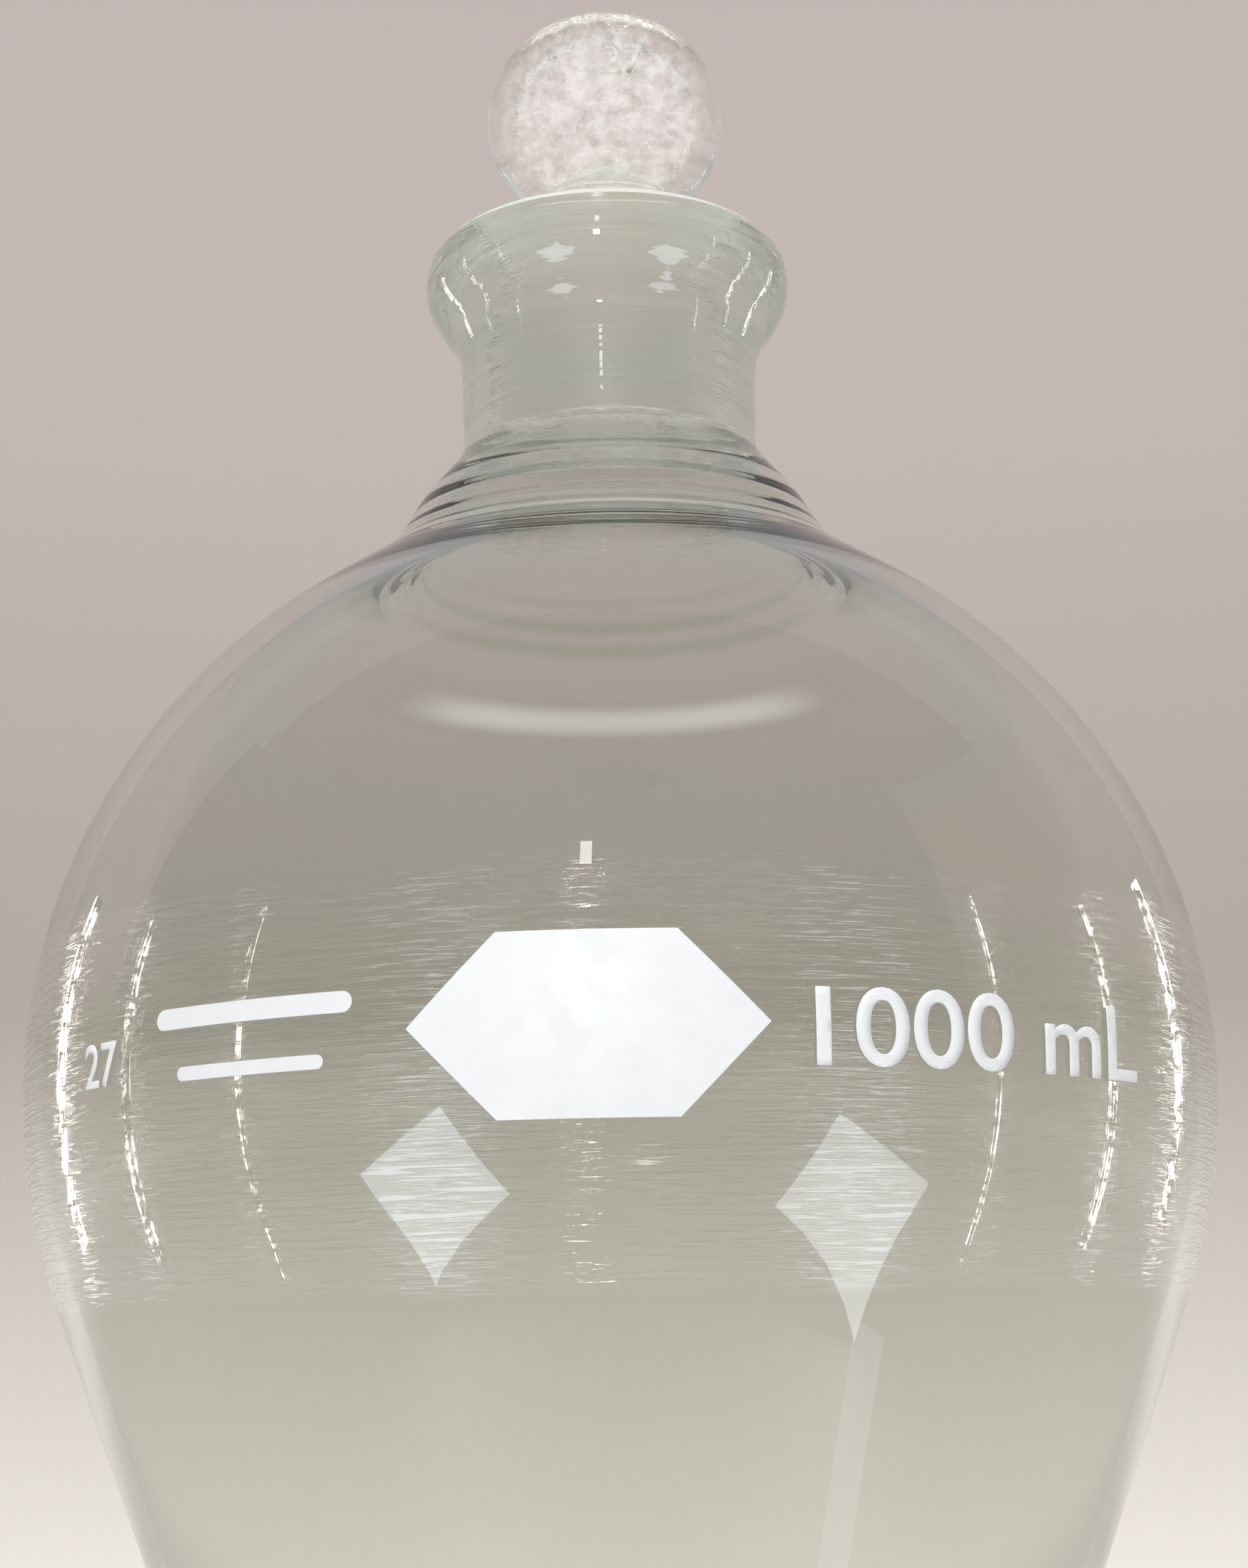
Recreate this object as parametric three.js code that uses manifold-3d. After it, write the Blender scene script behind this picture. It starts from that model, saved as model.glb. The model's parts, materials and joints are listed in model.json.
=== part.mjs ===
// Pear-shaped separatory funnel, 1000 mL: borosilicate vessel, flat-handled ground stopper,
// and a PTFE stopcock. Millimetres, +Z up along the funnel's axis. The origin is on that axis,
// in the plane where a 4 inch support ring meets the lower cone.
import * as THREE from "three";
import { mergeVertices } from "three/addons/utils/BufferGeometryUtils.js";
import Module from "manifold-3d";

const wasm = await Module();
wasm.setup();

// Bulb: a sphere that runs on tangentially as a cone below.
const BULB_RADIUS = 60.5;
const BULB_WALL = 2.0;
const CONE_HALF_ANGLE = THREE.MathUtils.degToRad(20.75);
const RING_RADIUS = 50.8;

// Neck and ground socket, a number 27 joint: 27 mm across at its wide end, taper 1 in 10.
const NECK_RADIUS = 16.0;
const LIP_RADIUS = 20.0;
const JOINT_RADIUS = 13.5;
const JOINT_LENGTH = 21.5;
const JOINT_SLOPE = 1 / 20;
const RIM_ABOVE_BULB = 92.0;
const RIM_BEVEL = 1.2;

// Stopper: a ground body with a flat round handle.
const STOPPER_CLEARANCE = 0.1;
const HANDLE_RADIUS = 13.3;
const HANDLE_THICKNESS = 5.2;
const HANDLE_WEB = 2.8;
const HANDLE_ABOVE_RIM = 16.3;

// Stopcock: 4 mm bore, taper 1 in 5, barrel along X.
const BARREL_BELOW_BULB = 172;
const BARREL_HALF_LENGTH = 17;
const BARREL_WALL = 2.4;
const BARREL_BEAD = 0.8;
const PLUG_MID_RADIUS = 6.05;
const PLUG_SLOPE = 1 / 10;
const PLUG_CLEARANCE = 0.1;
const PLUG_BORE_RADIUS = 2.0;
const SEAL_FROM_BARREL = 14;
const INLET_RADIUS = 5.75;
const INLET_BORE = 3.5;

// Stem below the stopcock, cut on a slant at its tip.
const STEM_RADIUS = 5.25;
const STEM_BORE = 3.25;
const STEM_TIP_BELOW_BARREL = 92;
const TIP_BEVEL = THREE.MathUtils.degToRad(30);

// Plug's tee handle, its threaded tail and what is on the tail.
const HUB_RADIUS = 7.6;
const HUB_LENGTH = 7;
const TEE_LENGTH = 38;
const TEE_WIDTH = 9;
const TEE_DEPTH = 7.5;
const TAIL_RADIUS = 3.4;
const TAIL_LENGTH = 18;
const TAIL_FLAT = 2.6;
const TAIL_FIT = 0.2;
const WASHER_RADIUS = 7.2;
const WASHER_THICKNESS = 1.8;
const ORING_RADIUS = 6.6;
const ORING_SECTION = 2.6;
const NUT_RADIUS = 8.4;
const NUT_LENGTH = 9;
const STACK_GAP = 0.1;

// How finely the round pieces are faceted.
const BULB_SIDES = 48;
const TUBE_SIDES = 24;
const PLUG_SIDES = 40;

// Heights, measured from the centre of the bulb's sphere.
const RING_BELOW_BULB = ringSeatDepth();
const SOCKET_SEAL = RIM_ABOVE_BULB - RIM_BEVEL - JOINT_LENGTH - 1;
const INLET_SEAL = -BARREL_BELOW_BULB + SEAL_FROM_BARREL;
const STEM_SEAL = -BARREL_BELOW_BULB - SEAL_FROM_BARREL;
const STEM_TIP = -BARREL_BELOW_BULB - STEM_TIP_BELOW_BARREL;

function ringSeatDepth() {
  const tangentRadius = BULB_RADIUS * Math.cos(CONE_HALF_ANGLE);
  const tangentDepth = BULB_RADIUS * Math.sin(CONE_HALF_ANGLE);
  return tangentDepth + (tangentRadius - RING_RADIUS) / Math.tan(CONE_HALF_ANGLE);
}

function at(radius, height) {
  return new THREE.Vector2(radius, height);
}

// Points on a circle of the profile plane, from one angle to another, in degrees.
function arc(centreRadius, centreHeight, radius, fromDegrees, toDegrees, steps) {
  const points = [];
  for (let i = 0; i <= steps; i += 1) {
    const angle = THREE.MathUtils.degToRad(fromDegrees + ((toDegrees - fromDegrees) * i) / steps);
    points.push(at(centreRadius + radius * Math.cos(angle), centreHeight + radius * Math.sin(angle)));
  }
  return points;
}

// A profile of (radius, height) points, listed upwards on the outside, turned about +Z.
function turned(profile, sides) {
  const geometry = new THREE.LatheGeometry(profile, sides);
  geometry.rotateX(Math.PI / 2);
  return geometry;
}

function toSolid(geometry) {
  const bare = geometry.clone();
  bare.deleteAttribute("normal");
  bare.deleteAttribute("uv");
  const merged = mergeVertices(bare, 1e-4);
  const vertProperties = new Float32Array(merged.attributes.position.array);
  const triVerts = new Uint32Array(merged.index.array);
  return new wasm.Manifold(new wasm.Mesh({ numProp: 3, vertProperties, triVerts }));
}

function toGeometry(solid) {
  const mesh = solid.getMesh();
  const geometry = new THREE.BufferGeometry();
  geometry.setAttribute("position", new THREE.BufferAttribute(mesh.vertProperties, 3));
  geometry.setIndex(new THREE.BufferAttribute(mesh.triVerts, 1));
  geometry.computeVertexNormals();
  return geometry;
}

function alongX(geometry) {
  return geometry.rotateY(Math.PI / 2);
}

const glass = { color: 0xe6ebe6, roughness: 0.05, metalness: 0, transparent: true, opacity: 0.35 };
const ptfe = { color: 0xf2f2ee, roughness: 0.45, metalness: 0 };
const rubber = { color: 0x1d1d1f, roughness: 0.7, metalness: 0 };
const nylon = { color: 0xe9e9e6, roughness: 0.4, metalness: 0 };

function part(name, geometry, finish) {
  const mesh = new THREE.Mesh(geometry, new THREE.MeshStandardMaterial(finish));
  mesh.name = name;
  return mesh;
}

// Radii of the ground joint at a height, and of the stopcock taper at a distance along X.
function jointRadius(height) {
  return JOINT_RADIUS - (RIM_ABOVE_BULB - RIM_BEVEL - height) * JOINT_SLOPE;
}

function plugSeatRadius(x) {
  return PLUG_MID_RADIUS + x * PLUG_SLOPE;
}

// Heavy rounded lip on a short neck, with the tapered ground socket inside.
function groundSocket() {
  const lipMiddle = RIM_ABOVE_BULB - 3.5;
  const beadBelow = 6.5;
  const bead = LIP_RADIUS - NECK_RADIUS;
  const outside = [at(NECK_RADIUS, SOCKET_SEAL), at(NECK_RADIUS, lipMiddle - beadBelow - 4)];
  outside.push(at(NECK_RADIUS + 0.6, lipMiddle - beadBelow - 1));
  for (const angle of [-60, -35, -15, 0]) {
    const turn = THREE.MathUtils.degToRad(angle);
    outside.push(at(NECK_RADIUS + bead * Math.cos(turn), lipMiddle + beadBelow * Math.sin(turn)));
  }
  outside.push(at(LIP_RADIUS - 0.6, RIM_ABOVE_BULB - 1.2));
  outside.push(at(LIP_RADIUS - 2.2, RIM_ABOVE_BULB));
  const inside = [at(JOINT_RADIUS + RIM_BEVEL, RIM_ABOVE_BULB)];
  inside.push(at(JOINT_RADIUS, RIM_ABOVE_BULB - RIM_BEVEL));
  inside.push(at(jointRadius(SOCKET_SEAL), SOCKET_SEAL));
  return turned([...outside, ...inside, outside[0]], BULB_SIDES);
}

// Blown bulb: shoulder, sphere and cone, with the wall following on the inside.
function bulb() {
  const cone = THREE.MathUtils.radToDeg(CONE_HALF_ANGLE);
  const shoulderAngle = 64;
  const innerRadius = BULB_RADIUS - BULB_WALL;
  const outside = [at(INLET_RADIUS, INLET_SEAL), at(INLET_RADIUS, INLET_SEAL + 2.5)];
  outside.push(...arc(0, 0, BULB_RADIUS, -cone, shoulderAngle, 13));
  outside.push(at(22.2, 60), at(19.7, 64), at(16.6, 67.7), at(NECK_RADIUS, SOCKET_SEAL));
  const inside = [at(jointRadius(SOCKET_SEAL), SOCKET_SEAL), at(13.4, 66.2), at(19.2, 60)];
  inside.push(...arc(0, 0, innerRadius, shoulderAngle + 1, -cone, 12));
  inside.push(at(INLET_BORE + 0.4, INLET_SEAL + 4), at(INLET_BORE, INLET_SEAL));
  return turned([...outside, ...inside, outside[0]], BULB_SIDES);
}

// Tapered barrel across the flow, with the tubes that meet the bulb and the stem.
function stopcockBarrel() {
  const half = BARREL_HALF_LENGTH;
  const wide = plugSeatRadius(half) + BARREL_WALL;
  const narrow = plugSeatRadius(-half) + BARREL_WALL;
  const outline = [at(0, -half), at(narrow + BARREL_BEAD, -half), at(narrow + BARREL_BEAD, 1.8 - half)];
  outline.push(at(narrow + 0.35, 4 - half), at(wide - 0.35, half - 4));
  outline.push(at(wide + BARREL_BEAD, half - 1.8), at(wide + BARREL_BEAD, half), at(0, half));
  const reach = half + 1;
  const seat = [at(0, -reach), at(plugSeatRadius(-reach), -reach), at(plugSeatRadius(reach), reach)];
  seat.push(at(0, reach));
  const tubes = [at(0, -SEAL_FROM_BARREL), at(STEM_RADIUS, -SEAL_FROM_BARREL), at(STEM_RADIUS, -2)];
  tubes.push(at(INLET_RADIUS, 2), at(INLET_RADIUS, SEAL_FROM_BARREL), at(0, SEAL_FROM_BARREL));
  const clear = SEAL_FROM_BARREL + 1;
  const bores = [at(0, -clear), at(STEM_BORE, -clear), at(STEM_BORE, 2 - PLUG_MID_RADIUS - BARREL_WALL * 2)];
  bores.push(at(PLUG_BORE_RADIUS, -PLUG_MID_RADIUS - 1), at(PLUG_BORE_RADIUS, PLUG_MID_RADIUS + 1));
  bores.push(at(INLET_BORE, PLUG_MID_RADIUS + BARREL_WALL * 2 - 2), at(INLET_BORE, clear), at(0, clear));
  let body = toSolid(alongX(turned(outline, PLUG_SIDES)));
  body = body.add(toSolid(turned(tubes, BULB_SIDES)));
  body = body.subtract(toSolid(alongX(turned(seat, PLUG_SIDES))));
  return toGeometry(body.subtract(toSolid(turned(bores, BULB_SIDES))));
}

// Drip stem, a plain tube that a slanting plane cuts at the tip.
function stem() {
  const spare = STEM_RADIUS * 2 * Math.tan(TIP_BEVEL);
  const tube = [at(STEM_RADIUS, STEM_TIP - 1), at(STEM_RADIUS, STEM_SEAL), at(STEM_BORE, STEM_SEAL)];
  tube.push(at(STEM_BORE, STEM_TIP - 1), tube[0]);
  const cutter = new THREE.BoxGeometry(40, 40, 40);
  cutter.translate(0, 0, -20);
  cutter.rotateY(-TIP_BEVEL);
  cutter.translate(0, 0, STEM_TIP + spare / 2);
  return toGeometry(toSolid(turned(tube, TUBE_SIDES)).subtract(toSolid(cutter)));
}

// Round handle: a web with a thicker rounded rim, standing on edge with its faces along Y.
function handleDisc() {
  const half = HANDLE_THICKNESS / 2;
  const web = HANDLE_WEB / 2;
  const rim = HANDLE_RADIUS - half;
  const lower = [at(0, -web), at(rim - 2.6, -web), at(rim - 1.2, 0.3 - half)];
  const round = arc(rim, 0, half, -80, 80, 6);
  const upper = [at(rim - 1.2, half - 0.3), at(rim - 2.6, web), at(0, web)];
  const geometry = new THREE.LatheGeometry([...lower, ...round, ...upper], PLUG_SIDES);
  geometry.translate(0, 0, RIM_ABOVE_BULB + HANDLE_ABOVE_RIM);
  return geometry;
}

// Ground body of the stopper: tapered side, rounded foot, and a dome that carries the handle.
function stopperBody() {
  const foot = SOCKET_SEAL + 0.4;
  const top = RIM_ABOVE_BULB + 1.5;
  const side = jointRadius(foot) - STOPPER_CLEARANCE;
  const profile = [at(0, foot), at(side - 1.4, foot), at(side, foot + 1.2)];
  profile.push(at(JOINT_RADIUS - STOPPER_CLEARANCE, RIM_ABOVE_BULB - RIM_BEVEL));
  profile.push(at(JOINT_RADIUS, top), at(JOINT_RADIUS - 1.6, top + 1.8), at(9.2, top + 3.6));
  profile.push(at(6.8, top + 6), at(4.2, top + 8.3), at(0, top + 9.2));
  return turned(profile, BULB_SIDES);
}

function stopper() {
  return toGeometry(toSolid(stopperBody()).add(toSolid(handleDisc())));
}

// PTFE plug: taper, hub and tee handle at +X, and a threaded tail with one flat at -X.
function stopcockPlug() {
  const small = -BARREL_HALF_LENGTH + 0.6;
  const large = BARREL_HALF_LENGTH + 1.2;
  const hubEnd = large + HUB_LENGTH;
  const tailEnd = small - TAIL_LENGTH;
  const line = [at(0, tailEnd), at(TAIL_RADIUS - 0.5, tailEnd), at(TAIL_RADIUS, tailEnd + 0.8)];
  line.push(at(TAIL_RADIUS, small), at(plugSeatRadius(small) - PLUG_CLEARANCE, small));
  line.push(at(plugSeatRadius(large) - PLUG_CLEARANCE, large), at(HUB_RADIUS, large + 0.6));
  line.push(at(HUB_RADIUS - 0.6, hubEnd), at(0, hubEnd));
  const bore = new THREE.CylinderGeometry(PLUG_BORE_RADIUS, PLUG_BORE_RADIUS, 30, TUBE_SIDES);
  const flat = new THREE.BoxGeometry(TAIL_LENGTH + 4, 2 * TAIL_RADIUS, 2 * TAIL_RADIUS);
  flat.translate(tailEnd + TAIL_LENGTH / 2 - 2, 0, TAIL_FLAT + TAIL_RADIUS);
  let plug = toSolid(alongX(turned(line, PLUG_SIDES)));
  plug = plug.add(toSolid(teeBar(hubEnd)));
  plug = plug.subtract(toSolid(bore));
  return toGeometry(plug.subtract(toSolid(flat)));
}

// Bar with round ends across the hub, level when the stopcock is shut.
function teeBar(hubEnd) {
  const round = TEE_WIDTH / 2;
  const straight = TEE_LENGTH / 2 - round;
  const outline = new THREE.Shape();
  outline.absarc(straight, 0, round, -Math.PI / 2, Math.PI / 2, false);
  outline.absarc(-straight, 0, round, Math.PI / 2, (Math.PI * 3) / 2, false);
  const bevel = 1;
  const geometry = new THREE.ExtrudeGeometry(outline, {
    depth: TEE_DEPTH - 2 * bevel,
    bevelThickness: bevel,
    bevelSize: bevel,
    bevelOffset: -bevel,
    bevelSegments: 1,
    curveSegments: 8,
  });
  geometry.rotateX(Math.PI / 2);
  geometry.rotateZ(Math.PI / 2);
  geometry.translate(hubEnd - 2.5 + bevel, 0, 0);
  return geometry;
}

// Rings on the tail: each is a closed profile about X, from its outer end towards the barrel.
function ring(outer, inner, start, length, rounding) {
  const end = start + length;
  const profile = [at(inner, start), at(outer - rounding, start), at(outer, start + rounding)];
  profile.push(at(outer, end - rounding), at(outer - rounding, end), at(inner, end), profile[0]);
  return alongX(turned(profile, TUBE_SIDES));
}

function oRing(start) {
  const half = ORING_SECTION / 2;
  const circle = arc(ORING_RADIUS - half, start + half, half, -180, 180, 10);
  circle[circle.length - 1].copy(circle[0]);
  return alongX(turned(circle, TUBE_SIDES));
}

const funnel = new THREE.Group();
funnel.position.z = RING_BELOW_BULB;
funnel.add(part("ground_socket", groundSocket(), glass));
funnel.add(part("bulb", bulb(), glass));
funnel.add(part("stem", stem(), glass));
funnel.add(part("stopper", stopper(), glass));

const washerStart = -BARREL_HALF_LENGTH - STACK_GAP - WASHER_THICKNESS;
const ringStart = washerStart - STACK_GAP - ORING_SECTION;
const nutStart = ringStart - STACK_GAP - NUT_LENGTH;
const tailHole = TAIL_RADIUS + TAIL_FIT;
const stopcock = new THREE.Group();
stopcock.position.z = -BARREL_BELOW_BULB;
stopcock.add(part("stopcock_barrel", stopcockBarrel(), glass));
stopcock.add(part("stopcock_plug", stopcockPlug(), ptfe));
const washer = ring(WASHER_RADIUS, tailHole, washerStart, WASHER_THICKNESS, 0.3);
stopcock.add(part("ptfe_washer", washer, ptfe));
stopcock.add(part("o_ring", oRing(ringStart), rubber));
stopcock.add(part("lock_nut", ring(NUT_RADIUS, tailHole, nutStart, NUT_LENGTH, 0.8), nylon));
funnel.add(stopcock);

const model = new THREE.Group();
model.add(funnel);
export default model;
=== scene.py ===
# %% [markdown]
# # A separatory funnel in clear glass
# A chemist shakes two liquids that don't mix in this pear-shaped vessel, waits until they part, and
# lets the lower one out through the stopcock. Nearly everything here is glass, so the lesson is
# about shapes that are right on the inside too: light bends at every wall, and a wall that is too
# thick or a joint that isn't closed shows at once.

# %% Load the measured model
import json
import math

import bmesh
import bpy
from mathutils import Matrix, Vector


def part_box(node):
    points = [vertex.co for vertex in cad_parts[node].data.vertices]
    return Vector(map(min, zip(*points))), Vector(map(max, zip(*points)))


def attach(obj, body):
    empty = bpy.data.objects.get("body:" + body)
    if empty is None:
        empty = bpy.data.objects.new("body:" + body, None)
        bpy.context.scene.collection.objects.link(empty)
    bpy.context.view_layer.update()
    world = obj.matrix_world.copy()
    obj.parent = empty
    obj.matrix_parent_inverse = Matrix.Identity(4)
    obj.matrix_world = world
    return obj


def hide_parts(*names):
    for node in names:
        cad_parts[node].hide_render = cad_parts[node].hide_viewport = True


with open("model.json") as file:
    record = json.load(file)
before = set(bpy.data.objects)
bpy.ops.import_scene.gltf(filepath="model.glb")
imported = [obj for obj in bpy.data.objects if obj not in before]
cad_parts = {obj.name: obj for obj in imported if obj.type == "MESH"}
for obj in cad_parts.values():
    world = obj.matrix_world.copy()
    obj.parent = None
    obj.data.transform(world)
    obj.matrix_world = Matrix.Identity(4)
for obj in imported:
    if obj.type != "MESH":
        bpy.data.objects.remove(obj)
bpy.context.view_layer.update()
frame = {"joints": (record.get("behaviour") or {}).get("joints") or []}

# %% [markdown]
# ## Sizes
# The heights come from the measured model. The glass-blower's sizes are easier to read in
# millimetres from the centre of the bulb, so the profiles below are written that way and one
# function turns them into metres.

# %% Read the heights that everything hangs from
MM = 0.001
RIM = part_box("ground_socket")[1].z
RIM_ABOVE_CENTRE = 92
BULB_CENTRE = RIM - RIM_ABOVE_CENTRE * MM
STEM_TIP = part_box("stem")[0].z
STEM_RADIUS = 5.25
TIP_SLANT = math.radians(30)
BULB_RADIUS = 60.5
BULB_WALL = 2.0
CONE_HALF_ANGLE = 20.75
plug_turn = [joint for joint in frame["joints"] if joint["name"] == "plug_turn"][0]
STOPCOCK_AXIS = Vector(plug_turn["pos_m"])
print("bulb centre", round(BULB_CENTRE, 5), "stopcock axis", round(STOPCOCK_AXIS.z, 5))

# %% [markdown]
# ## Camera
# The camera stands close in front, a little below the middle of the bulb, and looks up at the neck.
# It is near enough for the cone to run out of the bottom of the frame.

# %% Place the camera
STAND_BACK = 266.3
STAND_BELOW_CENTRE = 27.7
LOOK_UP_BY = 12.66
LEAN = -0.99
camera_data = bpy.data.cameras.new("camera")
camera_data.sensor_width = 36
camera_data.lens = 59.1
camera_data.clip_start = 0.01
camera = bpy.data.objects.new("camera", camera_data)
bpy.context.scene.collection.objects.link(camera)
look_up = Matrix.Rotation(math.radians(90 + LOOK_UP_BY), 4, "X")
lean = Matrix.Rotation(math.radians(LEAN), 4, "Z")
stand = Matrix.Translation((0.9 * MM, -STAND_BACK * MM, BULB_CENTRE - STAND_BELOW_CENTRE * MM))
camera.matrix_world = stand @ look_up @ lean
bpy.context.scene.camera = camera
print("camera at", [round(value, 4) for value in stand.translation], "lens", round(camera_data.lens, 1))

# %% [markdown]
# ## Turned shapes
# A lathe, real or in software, only needs half an outline. The Screw modifier turns it about the
# object's own Z axis, and Subdivision Surface rounds the coarse steps. The outline runs from top to
# bottom on the outside, so that the faces point outwards, and a hollow piece carries on back up its
# inside until the line closes on itself.

# %% Turn an outline about the axis
def new_piece(name, points, edges, faces):
    mesh = bpy.data.meshes.new(name)
    mesh.from_pydata(points, edges, faces)
    piece = bpy.data.objects.new(name, mesh)
    bpy.context.scene.collection.objects.link(piece)
    return piece


def turn(name, outline, steps, levels, hollow=False):
    points = [(radius * MM, 0, height * MM) for radius, height in outline]
    edges = [(i, i + 1) for i in range(len(points) - 1)]
    if hollow:
        edges.append((len(points) - 1, 0))
    piece = new_piece(name, points, edges, [])
    screw = piece.modifiers.new("turn", "SCREW")
    screw.axis = "Z"
    screw.steps = steps
    screw.render_steps = steps
    screw.use_merge_vertices = True
    screw.merge_threshold = 1e-6
    screw.use_smooth_shade = True
    round_off(piece, levels)
    return piece


def round_off(piece, levels):
    smooth = piece.modifiers.new("round", "SUBSURF")
    smooth.levels = levels
    smooth.render_levels = levels


# %% [markdown]
# Some stacks have to be applied: where a modifier names another object, because a pose moves each
# piece alone, and where a piece is turned or moved after its stack has worked about the origin.

# %% Apply a stack, move a mesh, cut and join
def apply_stack(piece):
    graph = bpy.context.evaluated_depsgraph_get()
    graph.update()
    finished = bpy.data.meshes.new_from_object(piece.evaluated_get(graph))
    piece.modifiers.clear()
    piece.data = finished
    return piece


def place(piece, matrix):
    apply_stack(piece)
    piece.data.transform(matrix)
    return piece


def combine(piece, helper, operation):
    boolean = piece.modifiers.new("combine", "BOOLEAN")
    boolean.operation = operation
    boolean.solver = "EXACT"
    boolean.object = helper
    apply_stack(piece)
    bpy.data.objects.remove(helper)
    return piece


def block(name, low, high):
    points = [(x, y, z) for x in (low[0], high[0]) for y in (low[1], high[1]) for z in (low[2], high[2])]
    sides = [(0, 1, 3, 2), (4, 6, 7, 5), (0, 4, 5, 1), (2, 3, 7, 6), (0, 2, 6, 4), (1, 5, 7, 3)]
    return new_piece(name, [Vector(point) * MM for point in points], [], sides)


def fuse_joins(piece, grain_mm, passes):
    fuse = piece.modifiers.new("fuse", "REMESH")
    fuse.mode = "VOXEL"
    fuse.voxel_size = grain_mm * MM
    fuse.use_smooth_shade = True
    melt = piece.modifiers.new("melt", "SMOOTH")
    melt.factor = 0.5
    melt.iterations = passes


def measure(piece):
    graph = bpy.context.evaluated_depsgraph_get()
    graph.update()
    shell = bmesh.new()
    shell.from_mesh(piece.evaluated_get(graph).to_mesh())
    volume = shell.calc_volume(signed=True) * 1e6
    open_edges = sum(not edge.is_manifold for edge in shell.edges)
    triangles = sum(len(face.verts) - 2 for face in shell.faces)
    shell.free()
    print(f"{piece.name}: {triangles} triangles, {volume:.2f} ml of material, {open_edges} open edges")


# %% [markdown]
# ## The vessel
# The socket, the neck and the bulb are blown and sealed in a flame until they are one piece of
# glass, so they are one outline here. The lip is a thick bead. Below the neck the glass flares,
# meets the sphere in a soft crease, and the sphere runs on as a cone. Inside, the wall follows 2 mm
# behind, except in the neck, where the ground taper leaves the wall thick.

# %% Outline of the vessel
def on_sphere(radius, start, end, count):
    angles = [math.radians(start + (end - start) * i / (count - 1)) for i in range(count)]
    return [(radius * math.cos(angle), radius * math.sin(angle)) for angle in angles]


def along(start, end, count):
    shares = [i / (count + 1) for i in range(1, count + 1)]
    return [(start[0] + (end[0] - start[0]) * s, start[1] + (end[1] - start[1]) * s) for s in shares]


INLET_SEAL = -158.0
lip = [(15.6, 92.0), (17.6, 92.0), (17.85, 91.95), (18.95, 91.2), (19.8, 89.9), (20.05, 88.4), (19.95, 86.6)]
lip += [(19.4, 84.9), (18.2, 83.1), (17.0, 81.6), (16.4, 80.0), (16.1, 78.0), (16.0, 75.0)]
neck = [(16.0, 72.0), (15.85, 70.0), (16.2, 68.2), (17.5, 66.2), (19.3, 64.2), (20.9, 62.2)]
neck += [(22.0, 60.2), (22.75, 58.9), (23.5, 57.9), (24.5, 56.4), (25.5, 55.6), (27.0, 54.5)]
outside = on_sphere(BULB_RADIUS, 61, -CONE_HALF_ANGLE, 12)
cone_end = (6.6, INLET_SEAL + 3.6)
outside += along(outside[-1], cone_end, 6) + [cone_end, (5.85, INLET_SEAL + 1.6)]
outside += [(5.75, INLET_SEAL + 0.2), (5.7, INLET_SEAL)]
inside = [(3.6, INLET_SEAL), (3.5, INLET_SEAL + 0.2), (3.6, INLET_SEAL + 2.0), (4.5, INLET_SEAL + 4.0)]
inner_arc = on_sphere(BULB_RADIUS - BULB_WALL, -CONE_HALF_ANGLE, 62, 12)
inside += along(inside[-1], inner_arc[0], 6) + inner_arc
throat = [(25.2, 52.5), (23.6, 53.0), (22.5, 54.6), (21.1, 55.3), (20.9, 56.8), (19.6, 58.0)]
throat += [(19.3, 59.6), (18.0, 60.7), (17.2, 62.3), (15.7, 63.6)]
throat += [(14.1, 65.2), (12.9, 66.6), (12.55, 67.8)]
ground_taper = [(12.38, 68.3), (12.5, 70.8), (12.9, 78.8), (13.3, 86.8), (13.48, 90.4)]
rim_bevel = [(13.7, 91.3), (14.4, 91.9), (14.6, 92.0)]
vessel_outline = lip + neck + outside + inside + throat + ground_taper + rim_bevel
vessel = turn("glass_vessel", vessel_outline, 64, 2, hollow=True)
place(vessel, Matrix.Translation((0, 0, BULB_CENTRE)))
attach(vessel, "vessel")
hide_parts("ground_socket", "bulb")
measure(vessel)

# %% [markdown]
# ## Stopcock barrel and stem
# A tapered barrel lies across the flow, and a tube meets it from above and from below. Where a
# glass-blower joins two tubes the glass runs together in a soft fillet. Joining plain solids with
# Boolean, and then a fine Remesh and a few passes of Smooth, gives that fillet.

# %% Barrel, inlet, stem and their bores
STEM_BELOW = (STEM_TIP - BULB_CENTRE) / MM
TO_X = Matrix.Rotation(math.radians(90), 4, "Y")
ON_STOPCOCK = Matrix.Translation(STOPCOCK_AXIS)


def seat_radius(x):
    return 6.05 + x / 10


barrel_outline = [(0, 17), (9.6, 17), (10.6, 16.7), (10.95, 15.8), (10.7, 14.9), (10.0, 14.0), (9.5, 12.6)]
barrel_outline += along(barrel_outline[-1], (7.3, -12.8), 5)
barrel_outline += [(7.3, -12.8), (7.6, -14.4), (7.95, -15.4), (7.9, -16.4), (7.2, -17), (0, -17)]
barrel = place(turn("glass_stopcock", barrel_outline, 48, 1), ON_STOPCOCK @ TO_X)
tube_outline = [(0, INLET_SEAL), (5.7, INLET_SEAL), (5.75, INLET_SEAL - 0.2), (5.8, INLET_SEAL - 2.4)]
tube_outline += [(6.3, INLET_SEAL - 4.2), (7.6, INLET_SEAL - 5.6), (7.6, -178.0), (6.2, -181.0)]
tube_outline += [(5.4, -183.6), (STEM_RADIUS, -186.0), (STEM_RADIUS, STEM_BELOW)]
tube_outline += [(0, STEM_BELOW)]
tube = place(turn("tube", tube_outline, 48, 0), Matrix.Translation((0, 0, BULB_CENTRE)))
combine(barrel, tube, "UNION")
seat_outline = [(0, 18), (seat_radius(18), 18), (seat_radius(-18), -18), (0, -18)]
combine(barrel, place(turn("seat", seat_outline, 64, 0), ON_STOPCOCK @ TO_X), "DIFFERENCE")
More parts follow.
